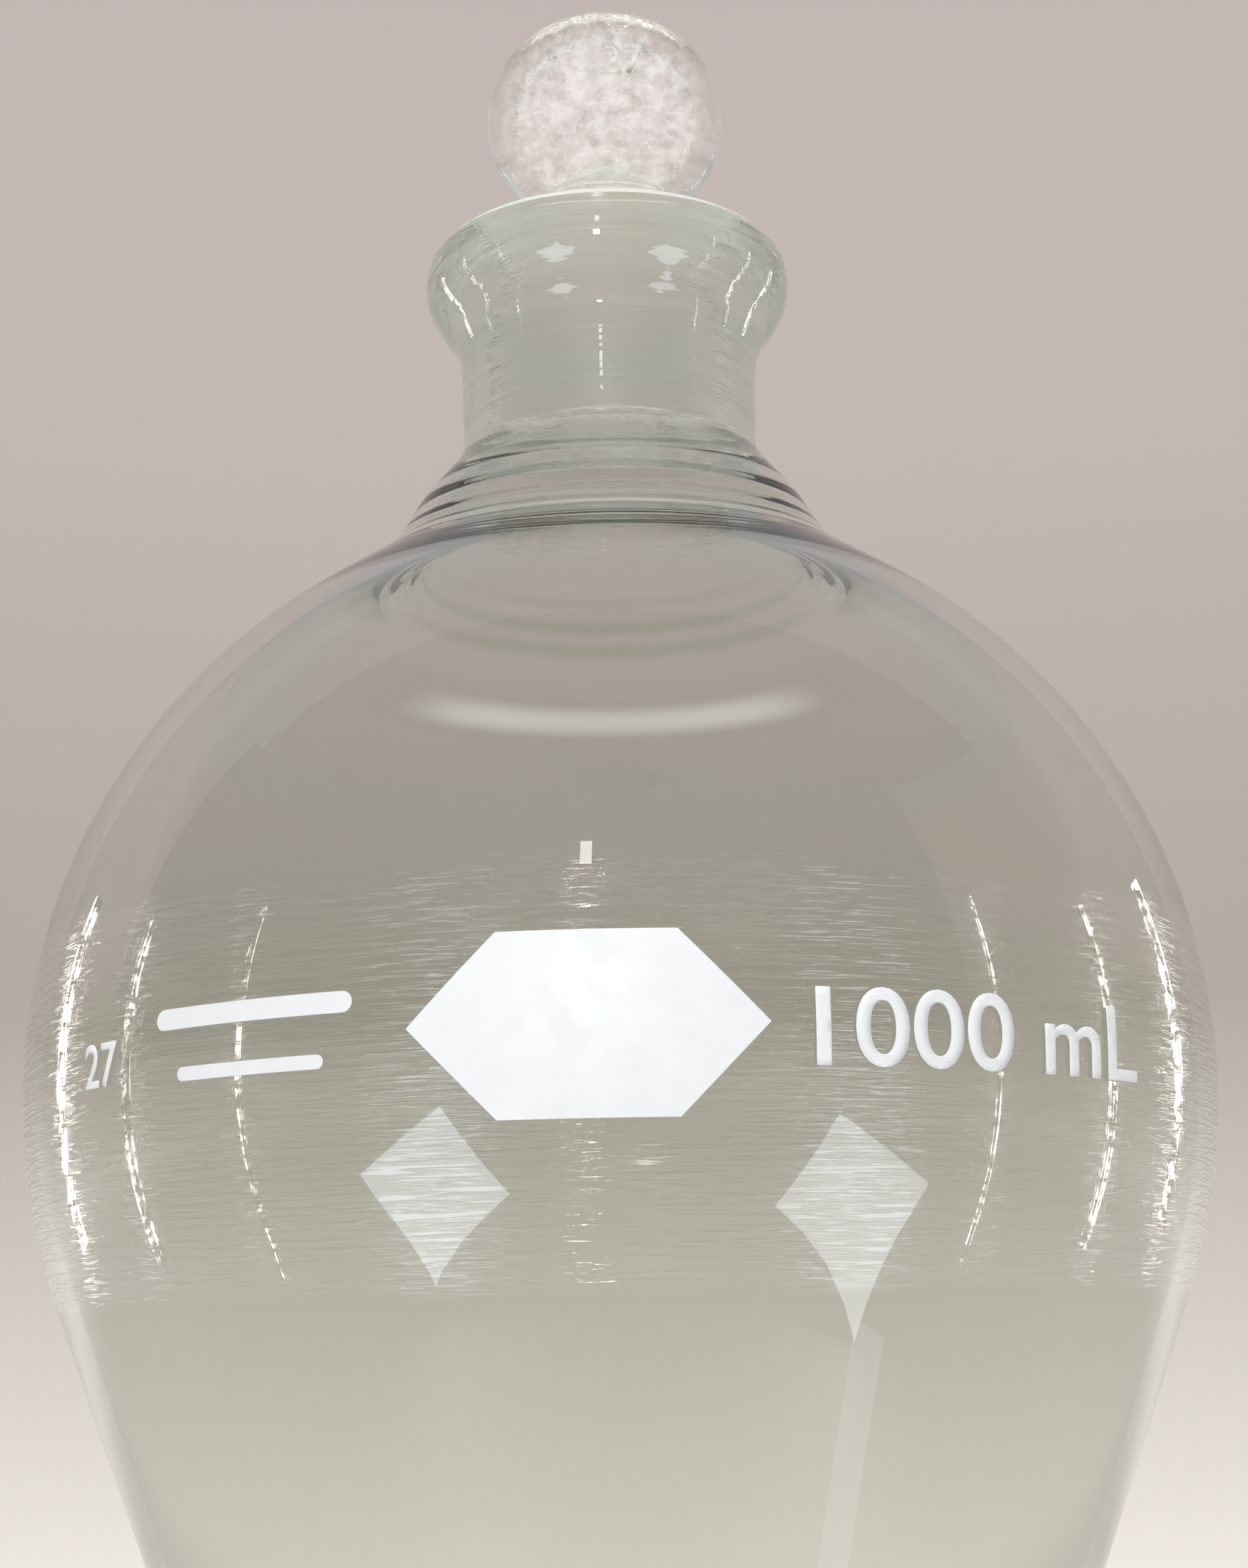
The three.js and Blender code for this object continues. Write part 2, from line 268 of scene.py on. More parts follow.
bore_outline = [(0, INLET_SEAL + 1), (3.5, INLET_SEAL + 1), (3.5, -163.0), (2.1, -165.0), (2.1, -179.0)]
bore_outline += [(3.25, -181.0), (3.25, STEM_BELOW - 2), (0, STEM_BELOW - 2)]
bore = place(turn("bore", bore_outline, 48, 0), Matrix.Translation((0, 0, BULB_CENTRE)))
combine(barrel, bore, "DIFFERENCE")
tip_slant = Matrix.Rotation(-TIP_SLANT, 4, "Y")
tip_height = STEM_TIP + STEM_RADIUS * MM * math.tan(TIP_SLANT)
cutter = block("cutter", (-20, -20, -40), (20, 20, 0))
cutter.data.transform(Matrix.Translation((0, 0, tip_height)) @ tip_slant)
combine(barrel, cutter, "DIFFERENCE")
fuse_joins(barrel, 0.34, 10)
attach(barrel, "vessel")
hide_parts("stopcock_barrel", "stem")
measure(barrel)

# %% [markdown]
# ## Stopper
# The stopper is pressed from solid glass. Its body is a taper that is ground to fit the socket, and
# a dome carries a flat round handle with a thick rim. The two are joined like the stopcock, so the
# handle seems to grow out of the dome.

# %% Ground body and round handle
HANDLE_ABOVE_RIM = 16.3
HANDLE_CENTRE = RIM_ABOVE_CENTRE + HANDLE_ABOVE_RIM
body_outline = [(0, 102.4), (2.4, 102.2), (5.0, 100.4), (7.2, 98.0), (9.4, 96.4), (11.8, 95.2)]
body_outline += [(13.2, 93.8), (13.42, 92.2), (13.4, 90.6), (13.0, 83.0), (12.6, 75.0), (12.32, 70.0)]
body_outline += [(12.0, 68.95), (11.2, 68.6), (8.2, 68.6), (7.6, 68.9), (3.0, 69.3), (0, 69.3)]
stopper = place(turn("glass_stopper", body_outline, 64, 1), Matrix.Translation((0, 0, BULB_CENTRE)))
rim_outline = [(0, 1.65), (5.0, 1.67), (9.3, 1.75), (10.1, 1.9), (10.7, 2.35), (11.4, 2.6), (12.4, 2.45)]
rim_outline += [(13.05, 1.7), (13.3, 0.6), (13.3, -0.6), (13.05, -1.7), (12.4, -2.45), (11.4, -2.6)]
rim_outline += [(10.7, -2.35), (10.1, -1.9), (9.3, -1.75), (5.0, -1.67), (0, -1.65)]
upright = Matrix.Rotation(math.radians(90), 4, "X")
handle_place = Matrix.Translation((0, 0, BULB_CENTRE + HANDLE_CENTRE * MM)) @ upright
combine(stopper, place(turn("handle", rim_outline, 64, 1), handle_place), "UNION")
fuse_joins(stopper, 0.27, 10)
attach(stopper, "stopper")
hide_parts("stopper")
measure(stopper)

# %% [markdown]
# ## PTFE plug
# The plug is turned from a bar of white PTFE: a taper that fits the barrel, a hub, a tail with a
# thread and one flat, and a tee handle across the end. A 4 mm hole goes through it.

# %% Turn the plug
plug_outline = [(0, 25.2), (6.6, 25.2), (7.1, 24.9), (7.3, 24.2), (7.6, 19.4), (7.7, 18.5), (7.72, 18.0)]
plug_outline += along(plug_outline[-1], (4.32, -16.0), 5)
plug_outline += [(4.32, -16.0), (4.2, -16.4), (3.2, -16.5), (3.05, -17.0), (3.05, -33.4), (2.6, -34.3)]
plug_outline += [(0, -34.4)]
plug = place(turn("ptfe_plug", plug_outline, 64, 0), ON_STOPCOCK @ TO_X)
measure(plug)

# %% [markdown]
# The tee handle is a bar. One Bevel rounds its ends and only takes edges with a weight, and a second
# one softens what is still sharp. The hole is drilled with Boolean.

# %% Tee handle and hole
def tee_bar():
    bar = block("tee_bar", (22.6, -19, -4.5), (30.2, 19, 4.5))
    weights = bar.data.attributes.new("bevel_weight_edge", "FLOAT", "EDGE")
    for edge in bar.data.edges:
        first, second = (bar.data.vertices[v].co for v in edge.vertices)
        at_end = abs(first.y + second.y) > 30 * MM
        along_x = abs(first.x - second.x) > 1 * MM
        weights.data[edge.index].value = 1.0 if at_end and along_x else 0.0
    ends = bar.modifiers.new("round ends", "BEVEL")
    ends.limit_method = "WEIGHT"
    ends.width = 4.4 * MM
    ends.segments = 10
    soft = bar.modifiers.new("soft edges", "BEVEL")
    soft.limit_method = "ANGLE"
    soft.angle_limit = math.radians(50)
    soft.width = 1.1 * MM
    soft.segments = 4
    return place(bar, ON_STOPCOCK)


combine(plug, tee_bar(), "UNION")
drill_outline = [(0, 12), (2, 12), (2, -12), (0, -12)]
drill_place = ON_STOPCOCK @ Matrix.Rotation(math.radians(90), 4, "X")
combine(plug, place(turn("drill", drill_outline, 32, 0), drill_place), "DIFFERENCE")
measure(plug)

# %% [markdown]
# The thread is a small tooth that a Screw modifier winds up along the tail. The flat is cut from the
# tail and from the thread before the two are joined, and a fine Remesh melts all of it together.

# %% Wind the thread and cut the flat
THREAD_PITCH = 1.5
TURNS_OF_THREAD = 10
tooth = [(2.9, -0.6), (3.4, -0.12), (3.4, 0.12), (2.9, 0.6)]
points = [(radius * MM, 0, height * MM) for radius, height in tooth]
thread = new_piece("thread", points, [(0, 1), (1, 2), (2, 3), (3, 0)], [])
wind = thread.modifiers.new("wind", "SCREW")
wind.steps = 32
wind.render_steps = 32
wind.iterations = TURNS_OF_THREAD
wind.screw_offset = THREAD_PITCH * MM
wind.use_smooth_shade = True
place(thread, ON_STOPCOCK @ TO_X @ Matrix.Translation((0, 0, -33.2 * MM)))
ends = bmesh.new()
ends.from_mesh(thread.data)
bmesh.ops.holes_fill(ends, edges=[edge for edge in ends.edges if edge.is_boundary], sides=4)
bmesh.ops.recalc_face_normals(ends, faces=ends.faces)
ends.to_mesh(thread.data)
ends.free()


def flat_cutter():
    cutter = block("flat_cutter", (-20, -20, -40), (20, 20, 0))
    cutter.data.transform(ON_STOPCOCK @ Matrix.Translation((-37 * MM, 0, 42.55 * MM)))
    return cutter


combine(plug, flat_cutter(), "DIFFERENCE")
combine(thread, flat_cutter(), "DIFFERENCE")
combine(plug, thread, "UNION")
fuse_joins(plug, 0.26, 3)
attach(plug, "plug")
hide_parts("stopcock_plug")
measure(plug)

# %% [markdown]
# ## Washer, O-ring and nut
# A flat washer and a rubber ring sit between the barrel and the nut, so that the nut pulls the plug
# home with a springy grip. The nut has flutes all round for the fingers.

# %% Turn the washer and the O-ring
def stack_ring(name, node, outline, body):
    low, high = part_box(node)
    middle = Matrix.Translation(((low.x + high.x) / 2, 0, STOPCOCK_AXIS.z))
    piece = place(turn(name, outline, 64, 1, hollow=True), middle @ TO_X)
    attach(piece, body)
    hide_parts(node)
    measure(piece)
    return piece


washer_outline = [(3.7, 0.86), (6.9, 0.86), (7.12, 0.8), (7.18, 0.6), (7.18, -0.6), (7.12, -0.8)]
washer_outline += [(6.9, -0.86), (3.7, -0.86), (3.62, -0.7), (3.62, 0.7)]
washer = stack_ring("flat_washer", "ptfe_washer", washer_outline, "tension_washers")
RING_MIDDLE = 5.3
RING_HALF = 1.38
turns = [math.tau * i / 10 for i in range(10)]
ring_outline = [(RING_MIDDLE - RING_HALF * math.cos(a), RING_HALF * math.sin(a)) for a in turns]
o_ring = stack_ring("rubber_ring", "o_ring", ring_outline, "tension_washers")

# %% [markdown]
# The nut is moulded, and its flutes come from the mould. An Array of cut grooves would do, but rings
# of points whose radius swings in and out give clean rows for Subdivision Surface to round.

# %% Fluted nut
FLUTES = 18


def fluted_nut():
    low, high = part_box("lock_nut")
    length = (high.x - low.x) / MM
    levels = [(0.0, 7.2), (0.35, 7.7), (0.9, 8.0), (length - 1.6, 8.0), (length - 0.9, 7.9)]
    levels += [(length - 0.3, 7.4), (length, 6.9)]
    rings = [(height, radius, 0.55 if 0.4 < height < length - 1.2 else 0.0) for height, radius in levels]
    hole = [(length, 3.9), (length - 0.5, 3.62), (0.5, 3.62), (0.0, 3.9)]
    rings += [(height, radius, 0.0) for height, radius in hole]
    columns = FLUTES * 6
    points, faces = [], []
    for height, radius, flute in rings:
        for column in range(columns):
            angle = math.tau * column / columns
            wave = abs(math.sin(angle * FLUTES / 2)) ** 0.7
            reach = (radius - flute + flute * wave) * MM
            points.append((reach * math.cos(angle), reach * math.sin(angle), height * MM))
    for ring in range(len(rings)):
        for column in range(columns):
            across = (column + 1) % columns
            start, following = ring * columns, (ring + 1) % len(rings) * columns
            faces.append((start + column, start + across, following + across, following + column))
    nut_piece = new_piece("fluted_nut", points, [], faces)
    nut_piece.data.polygons.foreach_set("use_smooth", [True] * len(faces))
    round_off(nut_piece, 1)
    return place(nut_piece, Matrix.Translation((low.x, 0, STOPCOCK_AXIS.z)) @ TO_X)


nut = fluted_nut()
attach(nut, "lock_nut")
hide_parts("lock_nut")
measure(nut)

# %% [markdown]
# ## Printed marks
# White enamel is printed on the bulb and fired on. It is a skin a few hundredths of a millimetre
# thick, so each mark is drawn flat, cut finely enough to bend, and wrapped round the sphere by
# turning sideways distance into an angle. Solidify then gives the skin its thickness, half sunk
# into the glass so that it has no gap behind it.

# %% Wrap a flat drawing round the bulb
PRINT_THICKNESS = 0.05


def wrap_on_bulb(piece, azimuth, height):
    shell = bmesh.new()
    shell.from_mesh(piece.data)
    bmesh.ops.triangulate(shell, faces=shell.faces)
    for _ in range(6):
        long_edges = [edge for edge in shell.edges if edge.calc_length() > 1.2 * MM]
        if not long_edges:
            break
        bmesh.ops.subdivide_edges(shell, edges=long_edges, cuts=1)
        bmesh.ops.triangulate(shell, faces=shell.faces)
    bmesh.ops.remove_doubles(shell, verts=shell.verts, dist=0.002 * MM)
    latitude = math.asin(height / BULB_RADIUS)
    radius = (BULB_RADIUS + PRINT_THICKNESS / 2) * MM
    for vertex in shell.verts:
        turn_angle = math.radians(azimuth) + vertex.co.x / radius
        tilt = latitude + vertex.co.y / radius
        flat_reach = radius * math.cos(tilt)
        up = BULB_CENTRE + radius * math.sin(tilt)
        vertex.co = (flat_reach * math.sin(turn_angle), -flat_reach * math.cos(turn_angle), up)
    shell.to_mesh(piece.data)
    shell.free()
    skin = piece.modifiers.new("enamel thickness", "SOLIDIFY")
    skin.thickness = PRINT_THICKNESS * MM
    skin.offset = -1
    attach(piece, "vessel")
    return piece


# %% [markdown]
# The marks are the spot for pencil notes, the capacity, the size of the joint, and two plain bars.
# Text becomes a mesh at once, scaled to the height of its capitals, because a wrapped mark needs
# real corners. The other marks are outlines with a few corners.

# %% Marking spot, capacity and size
def flat_text(name, words, cap_height, stretch):
    curve = bpy.data.curves.new(name, "FONT")
    curve.body = words
    curve.align_y = "CENTER"
    curve.resolution_u = 6
    curve.offset = 0.012
    letters = bpy.data.objects.new(name + "_flat", curve)
    bpy.context.scene.collection.objects.link(letters)
    bpy.context.view_layer.update()
    drawn = bpy.data.meshes.new_from_object(letters.evaluated_get(bpy.context.evaluated_depsgraph_get()))
    bpy.data.objects.remove(letters)
    ys = [vertex.co.y for vertex in drawn.vertices]
    scale = cap_height * MM / (max(ys) - min(ys))
    wider = Matrix.Diagonal((stretch * scale, scale, scale, 1))
    drawn.transform(wider @ Matrix.Translation((0, -(max(ys) + min(ys)) / 2, 0)))
    piece = bpy.data.objects.new(name, drawn)
    bpy.context.scene.collection.objects.link(piece)
    print(name, "is", round(max(vertex.co.x for vertex in drawn.vertices) / MM, 1), "mm long")
    return piece


def outline_mark(name, corners_mm, azimuth, height):
    points = [(x * MM, y * MM, 0) for x, y in corners_mm]
    return wrap_on_bulb(new_piece(name, points, [], [tuple(range(len(points)))]), azimuth, height)


def round_bar(half_length, half_height):
    right = [(half_length + half_height * math.cos(math.radians(a)), half_height * math.sin(math.radians(a)))
             for a in range(-90, 91, 15)]
    return right + [(-x, -y) for x, y in right]


def printed_text(name, words, cap_height, stretch, azimuth, height):
    return wrap_on_bulb(flat_text(name, words, cap_height, stretch), azimuth, height)


spot_corners = [(-15, 0), (-7.5, -7.65), (7.5, -7.65), (15, 0), (7.5, 7.65), (-7.5, 7.65)]
marks = [outline_mark("marking_spot", spot_corners, -2.3, -1.0)]
marks.append(printed_text("capacity_print", "1000 mL", 6.6, 1.16, 13.6, -1.3))
marks.append(printed_text("joint_size_print", "27", 4.0, 1.0, -51.8, -1.4))
marks.append(outline_mark("plain_bar_long", round_bar(9.6, 0.9), -31.0, 1.6))
marks.append(outline_mark("plain_bar_short", round_bar(7.2, 0.6), -31.0, -3.2))
for mark in marks:
    measure(mark)

# %% [markdown]
# The size of the joint also stands up from the pressed web of the handle, where the mould had it
# cut in. It is thin glass on glass, sunk a little so that it has no gap behind it.

# %% Raised size number on the handle
size_mark = flat_text("raised_size", "27", 3.6, 1.0)
merge = bmesh.new()
merge.from_mesh(size_mark.data)
bmesh.ops.remove_doubles(merge, verts=merge.verts, dist=0.002 * MM)
merge.to_mesh(size_mark.data)
merge.free()
on_web = Matrix.Translation((-0.4 * MM, -1.58 * MM, BULB_CENTRE + (HANDLE_CENTRE + 7.0) * MM))
size_mark.data.transform(on_web @ upright)
rise = size_mark.modifiers.new("stands up", "SOLIDIFY")
rise.thickness = 0.5 * MM
rise.offset = 1
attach(size_mark, "stopper")
measure(size_mark)

# %% [markdown]
# ## Glass
# Borosilicate glass bends light with an index of 1.473 and takes a little green and yellow out of
# it, which only shows where light runs a long way through the wall, so that tint is a volume. The
# surface colour is a plain grey: painted shade that darkens everything seen through the glass,
# standing in for the shadow the glass casts behind it and for the light it mirrors away. One make-up
# serves the vessel, the stopcock and the stopper. Each cell below adds the nodes of one effect, and
# all of them start from the height and the radius on the piece.

# %% New material, labels, and the place on the piece
def new_material(name):
    material = bpy.data.materials.new(name)
    material.use_nodes = True
    nodes, links = material.node_tree.nodes, material.node_tree.links
    nodes.clear()
    return material, nodes, links


def label(node, text, home, x, y):
    node.label = text
    node.parent = home
    node.location = (x, y)


def place_on_piece(nodes, links):
    where = nodes.new("NodeFrame")
    where.label = "Height and radius on the piece"
    coords = nodes.new("ShaderNodeTexCoord")
    label(coords, "place on the piece", where, -2200, 200)
    split = nodes.new("ShaderNodeSeparateXYZ")
    label(split, "height", where, -2000, 300)
    flatten = nodes.new("ShaderNodeVectorMath")
    label(flatten, "drop the height", where, -2000, 100)
    flatten.operation = "MULTIPLY"
    flatten.inputs[1].default_value = (1, 1, 0)
    reach = nodes.new("ShaderNodeVectorMath")
    label(reach, "distance from the axis", where, -1800, 100)
    reach.operation = "LENGTH"
    links.new(coords.outputs["Object"], split.inputs[0])
    links.new(coords.outputs["Object"], flatten.inputs[0])
    links.new(flatten.outputs["Vector"], reach.inputs[0])
    return coords, split, reach


# %% [markdown]
# The socket and the stopper's body are ground with abrasive until they fit. The zone is where the
# height and the radius both lie between limits. The flat top of the lip is ground too.

# %% Ground zone
SOFT_EDGE = 0.2 * MM
LIP_BEVEL = 1.1 * MM


def ground_zone(nodes, links, split, reach, limits, tooling):
    ground_low, ground_high, ground_inner, ground_outer = limits
    zone = nodes.new("NodeFrame")
    zone.label = "Ground zone"
    above = nodes.new("ShaderNodeMapRange")
    label(above, "above its lower edge", zone, -1500, 500)
    above.inputs["From Min"].default_value = ground_low - SOFT_EDGE
    above.inputs["From Max"].default_value = ground_low + SOFT_EDGE
    below = nodes.new("ShaderNodeMapRange")
    label(below, "below its upper edge", zone, -1500, 250)
    below.inputs["From Min"].default_value = ground_high + SOFT_EDGE
    below.inputs["From Max"].default_value = ground_high - SOFT_EDGE
    outer = nodes.new("ShaderNodeMath")
    label(outer, "inside the outer radius", zone, -1500, 0)
    outer.operation = "LESS_THAN"
    outer.inputs[1].default_value = ground_outer * MM
    inner = nodes.new("ShaderNodeMath")
    label(inner, "outside the inner radius", zone, -1500, -180)
    inner.operation = "GREATER_THAN"
    inner.inputs[1].default_value = ground_inner * MM
    heights = nodes.new("ShaderNodeMath")
    label(heights, "between the edges", zone, -1300, 350)
    heights.operation = "MULTIPLY"
    radii = nodes.new("ShaderNodeMath")
    label(radii, "between the radii", zone, -1300, -60)
    radii.operation = "MULTIPLY"
    ground = nodes.new("ShaderNodeMath")
    label(ground, "ground here", zone, -1100, 150)
    ground.operation = "MULTIPLY"
    links.new(split.outputs["Z"], above.inputs["Value"])
    links.new(split.outputs["Z"], below.inputs["Value"])
    links.new(reach.outputs["Value"], outer.inputs[0])
    links.new(reach.outputs["Value"], inner.inputs[0])
    links.new(above.outputs["Result"], heights.inputs[0])
    links.new(below.outputs["Result"], heights.inputs[1])
    links.new(outer.outputs["Value"], radii.inputs[0])
    links.new(inner.outputs["Value"], radii.inputs[1])
    links.new(heights.outputs["Value"], ground.inputs[0])
    links.new(radii.outputs["Value"], ground.inputs[1])

    top_face = nodes.new("ShaderNodeMath")
    label(top_face, "flat top of the lip and its bevel", zone, -1300, -300)
    top_face.operation = "GREATER_THAN"
    top_face.inputs[1].default_value = RIM - LIP_BEVEL
    ground_top = nodes.new("ShaderNodeMath")
    label(ground_top, "on the vessel only", zone, -1100, -300)
    ground_top.operation = "MULTIPLY"
    ground_top.inputs[1].default_value = tooling
    any_ground = nodes.new("ShaderNodeMath")
    label(any_ground, "socket or top", zone, -900, 0)
    any_ground.operation = "MAXIMUM"
    links.new(split.outputs["Z"], top_face.inputs[0])
    links.new(top_face.outputs["Value"], ground_top.inputs[0])
    links.new(ground.outputs["Value"], any_ground.inputs[0])
    links.new(ground_top.outputs["Value"], any_ground.inputs[1])
    return ground, any_ground, ground_top


# %% [markdown]
# Grinding turns the piece against the tool, so it leaves fine level rings. They are a noise that is
# squeezed in height and drawn out round the axis.

# %% Rings left by grinding
def grinding_rings(nodes, links, coords, ground):
    grinding = nodes.new("NodeFrame")
    grinding.label = "Rings left by grinding"
    stretch = nodes.new("ShaderNodeMapping")
    label(stretch, "long round, fine in height", grinding, -1500, -500)
    stretch.inputs["Scale"].default_value = (18, 18, 1500)
    rings = nodes.new("ShaderNodeTexNoise")
    label(rings, "grinding rings", grinding, -1300, -500)
    rings.inputs["Scale"].default_value = 1.0
    rings.inputs["Detail"].default_value = 4.0
    ring_depth = nodes.new("ShaderNodeMath")
    label(ring_depth, "only where it is ground", grinding, -1100, -500)
    ring_depth.operation = "MULTIPLY"
    links.new(coords.outputs["Object"], stretch.inputs["Vector"])
    links.new(stretch.outputs["Vector"], rings.inputs["Vector"])
    links.new(rings.outputs["Fac"], ring_depth.inputs[0])
    links.new(ground.outputs["Value"], ring_depth.inputs[1])
    return ring_depth


# %% [markdown]
# The widest part of the bulb rubs on the bench and in the drawer. Its level scratches are a thin
# coat with a bump of its own, so they catch light and don't bend what shows through the wall.

# %% Wear scratches
WORN_FROM = BULB_CENTRE - 23 * MM
WORN_TO = BULB_CENTRE + 15 * MM


def wear_scratches(nodes, links, coords, split, wear):
    marks_home = nodes.new("NodeFrame")
    marks_home.label = "Wear scratches round the widest part"
    scratch_stretch = nodes.new("ShaderNodeMapping")
    label(scratch_stretch, "thin and level", marks_home, -1500, -900)
    scratch_stretch.inputs["Scale"].default_value = (90, 90, 2000)
    scratches = nodes.new("ShaderNodeTexNoise")
    label(scratches, "scratches", marks_home, -1300, -900)
    scratches.inputs["Scale"].default_value = 1.0
    scratches.inputs["Roughness"].default_value = 0.7
    band_low = nodes.new("ShaderNodeMapRange")
    label(band_low, "fades in from below", marks_home, -1500, -1200)
    band_low.interpolation_type = "SMOOTHSTEP"
    band_low.inputs["From Min"].default_value = WORN_FROM
    band_low.inputs["From Max"].default_value = WORN_FROM + 2 * MM
    band_high = nodes.new("ShaderNodeMapRange")
    label(band_high, "fades out upwards", marks_home, -1500, -1450)
    band_high.interpolation_type = "SMOOTHSTEP"
    band_high.inputs["From Min"].default_value = WORN_TO
    band_high.inputs["From Max"].default_value = WORN_TO - 4 * MM
    from_centre = nodes.new("ShaderNodeVectorMath")
    label(from_centre, "distance from the bulb's centre", marks_home, -1500, -1700)
    from_centre.operation = "DISTANCE"
    from_centre.inputs[1].default_value = (0, 0, BULB_CENTRE)
    outside_only = nodes.new("ShaderNodeMath")
    label(outside_only, "outer surface only", marks_home, -1300, -1600)
    outside_only.operation = "GREATER_THAN"
    outside_only.inputs[1].default_value = (BULB_RADIUS - BULB_WALL / 2) * MM
    band = nodes.new("ShaderNodeMath")
    label(band, "worn band", marks_home, -1300, -1300)
    band.operation = "MULTIPLY"
    outer_band = nodes.new("ShaderNodeMath")
    label(outer_band, "worn band outside", marks_home, -1100, -1400)
    outer_band.operation = "MULTIPLY"
    lines = nodes.new("ShaderNodeMapRange")
    label(lines, "few and thin", marks_home, -1100, -900)
    lines.inputs["From Min"].default_value = 0.42
    lines.inputs["From Max"].default_value = 0.70
    worn = nodes.new("ShaderNodeMath")
    label(worn, "scratches in the band", marks_home, -900, -1000)
    worn.operation = "MULTIPLY"
    worn_share = nodes.new("ShaderNodeMath")
    label(worn_share, "how much of the skin is scratched", marks_home, -900, -1400)
    worn_share.operation = "MULTIPLY"
    worn_share.inputs[1].default_value = wear
    links.new(coords.outputs["Object"], scratch_stretch.inputs["Vector"])
    links.new(coords.outputs["Object"], from_centre.inputs[0])
    links.new(from_centre.outputs["Value"], outside_only.inputs[0])
    links.new(scratch_stretch.outputs["Vector"], scratches.inputs["Vector"])
    links.new(split.outputs["Z"], band_low.inputs["Value"])
    links.new(split.outputs["Z"], band_high.inputs["Value"])
    links.new(band_low.outputs["Result"], band.inputs[0])
    links.new(band_high.outputs["Result"], band.inputs[1])
    links.new(band.outputs["Value"], outer_band.inputs[0])
    links.new(outside_only.outputs["Value"], outer_band.inputs[1])
    links.new(scratches.outputs["Fac"], lines.inputs["Value"])
    links.new(lines.outputs["Result"], worn.inputs[0])
    links.new(outer_band.outputs["Value"], worn_share.inputs[0])
    links.new(outer_band.outputs["Value"], worn.inputs[1])
    return worn, worn_share


# %% [markdown]
# The flat of the handle is pressed in a mould and keeps the mould's skin, so it is frosted in
# patches and has an orange-peel surface, while its rim is clear.

# %% Pressed web of the handle
RIM_MIDDLE = 13.2
WEB_EDGE = 9.4


def pressed_web(nodes, links, coords, lumps):
    pressed = nodes.new("NodeFrame")
    pressed.label = "Pressed web of the handle"
    from_handle = nodes.new("ShaderNodeVectorMath")
    label(from_handle, "distance from the handle's middle", pressed, -1500, -2000)
    from_handle.operation = "DISTANCE"
    from_handle.inputs[1].default_value = (0, 0, BULB_CENTRE + HANDLE_CENTRE * MM)
    web = nodes.new("ShaderNodeMapRange")
    label(web, "inside the rim", pressed, -1300, -2000)
    web.interpolation_type = "SMOOTHSTEP"
    web.inputs["From Min"].default_value = RIM_MIDDLE * MM
    web.inputs["From Max"].default_value = WEB_EDGE * MM
    web.inputs["To Max"].default_value = 1.0 if lumps > 0.05 else 0.0
    links.new(coords.outputs["Object"], from_handle.inputs[0])
    links.new(from_handle.outputs["Value"], web.inputs["Value"])
    return web


# %% [markdown]
# Ground glass is rough, which takes the gloss away, and it throws some light back, which makes it
# look white. Roughness does the first. For the second, a little transmission is given up, more on
# the top of the lip and the web than on the joint, where the two ground faces meet.

# %% Frost and gloss
def frost_and_gloss(nodes, links, coords, web, any_ground, ground_top, frost):
    surface = nodes.new("NodeFrame")
    surface.label = "Frost and gloss"
    patches = nodes.new("ShaderNodeTexNoise")
    label(patches, "patches of the mould", surface, -1100, 350)
    patches.inputs["Scale"].default_value = 480
    patches.inputs["Detail"].default_value = 8.0
    patches.inputs["Roughness"].default_value = 0.75
    patch_share = nodes.new("ShaderNodeMapRange")
    label(patch_share, "clearer and whiter patches", surface, -900, 350)
    patch_share.inputs["From Min"].default_value = 0.40
    patch_share.inputs["From Max"].default_value = 0.60
    patch_share.inputs["To Min"].default_value = 0.1
    web_white = nodes.new("ShaderNodeMath")
    label(web_white, "frost on the web in patches", surface, -700, 400)
    web_white.operation = "MULTIPLY"
    white_parts = nodes.new("ShaderNodeMath")
    label(white_parts, "web or top of the lip", surface, -600, 300)
    white_parts.operation = "MAXIMUM"
    faint_white = nodes.new("ShaderNodeMath")
    label(faint_white, "a little white on the ground joint", surface, -600, 450)
    faint_white.operation = "MULTIPLY_ADD"
    faint_white.inputs[1].default_value = 0.09
    web_dull = nodes.new("ShaderNodeMath")
    label(web_dull, "slight frost on the web", surface, -700, 250)
    web_dull.operation = "MULTIPLY"
    web_dull.inputs[1].default_value = 0.7
    all_dull = nodes.new("ShaderNodeMath")
    label(all_dull, "ground or pressed", surface, -600, 150)
    all_dull.operation = "MAXIMUM"
    whiteness = nodes.new("ShaderNodeMapRange")
    label(whiteness, "frost throws some light back", surface, -500, 300)
    whiteness.inputs["To Min"].default_value = 1.0
    whiteness.inputs["To Max"].default_value = 1 - frost
    dullness = nodes.new("ShaderNodeMapRange")
    label(dullness, "clear glass to ground glass", surface, -500, 100)
    dullness.inputs["To Max"].default_value = 0.42
    links.new(coords.outputs["Object"], patches.inputs["Vector"])
    links.new(patches.outputs["Fac"], patch_share.inputs["Value"])
    links.new(web.outputs["Result"], web_white.inputs[0])
    links.new(patch_share.outputs["Result"], web_white.inputs[1])
    links.new(web_white.outputs["Value"], white_parts.inputs[0])
    links.new(ground_top.outputs["Value"], white_parts.inputs[1])
    links.new(web.outputs["Result"], web_dull.inputs[0])
    links.new(any_ground.outputs["Value"], all_dull.inputs[0])
    links.new(web_dull.outputs["Value"], all_dull.inputs[1])
    links.new(all_dull.outputs["Value"], dullness.inputs["Value"])
    links.new(any_ground.outputs["Value"], faint_white.inputs[0])
    links.new(white_parts.outputs["Value"], faint_white.inputs[2])
    links.new(faint_white.outputs["Value"], whiteness.inputs["Value"])
    return dullness, whiteness


# %% [markdown]
# The surface itself is a chain of bumps: soft lumps, level waves that the forming tool left on the
# neck, the orange peel of the web, and the grinding rings.

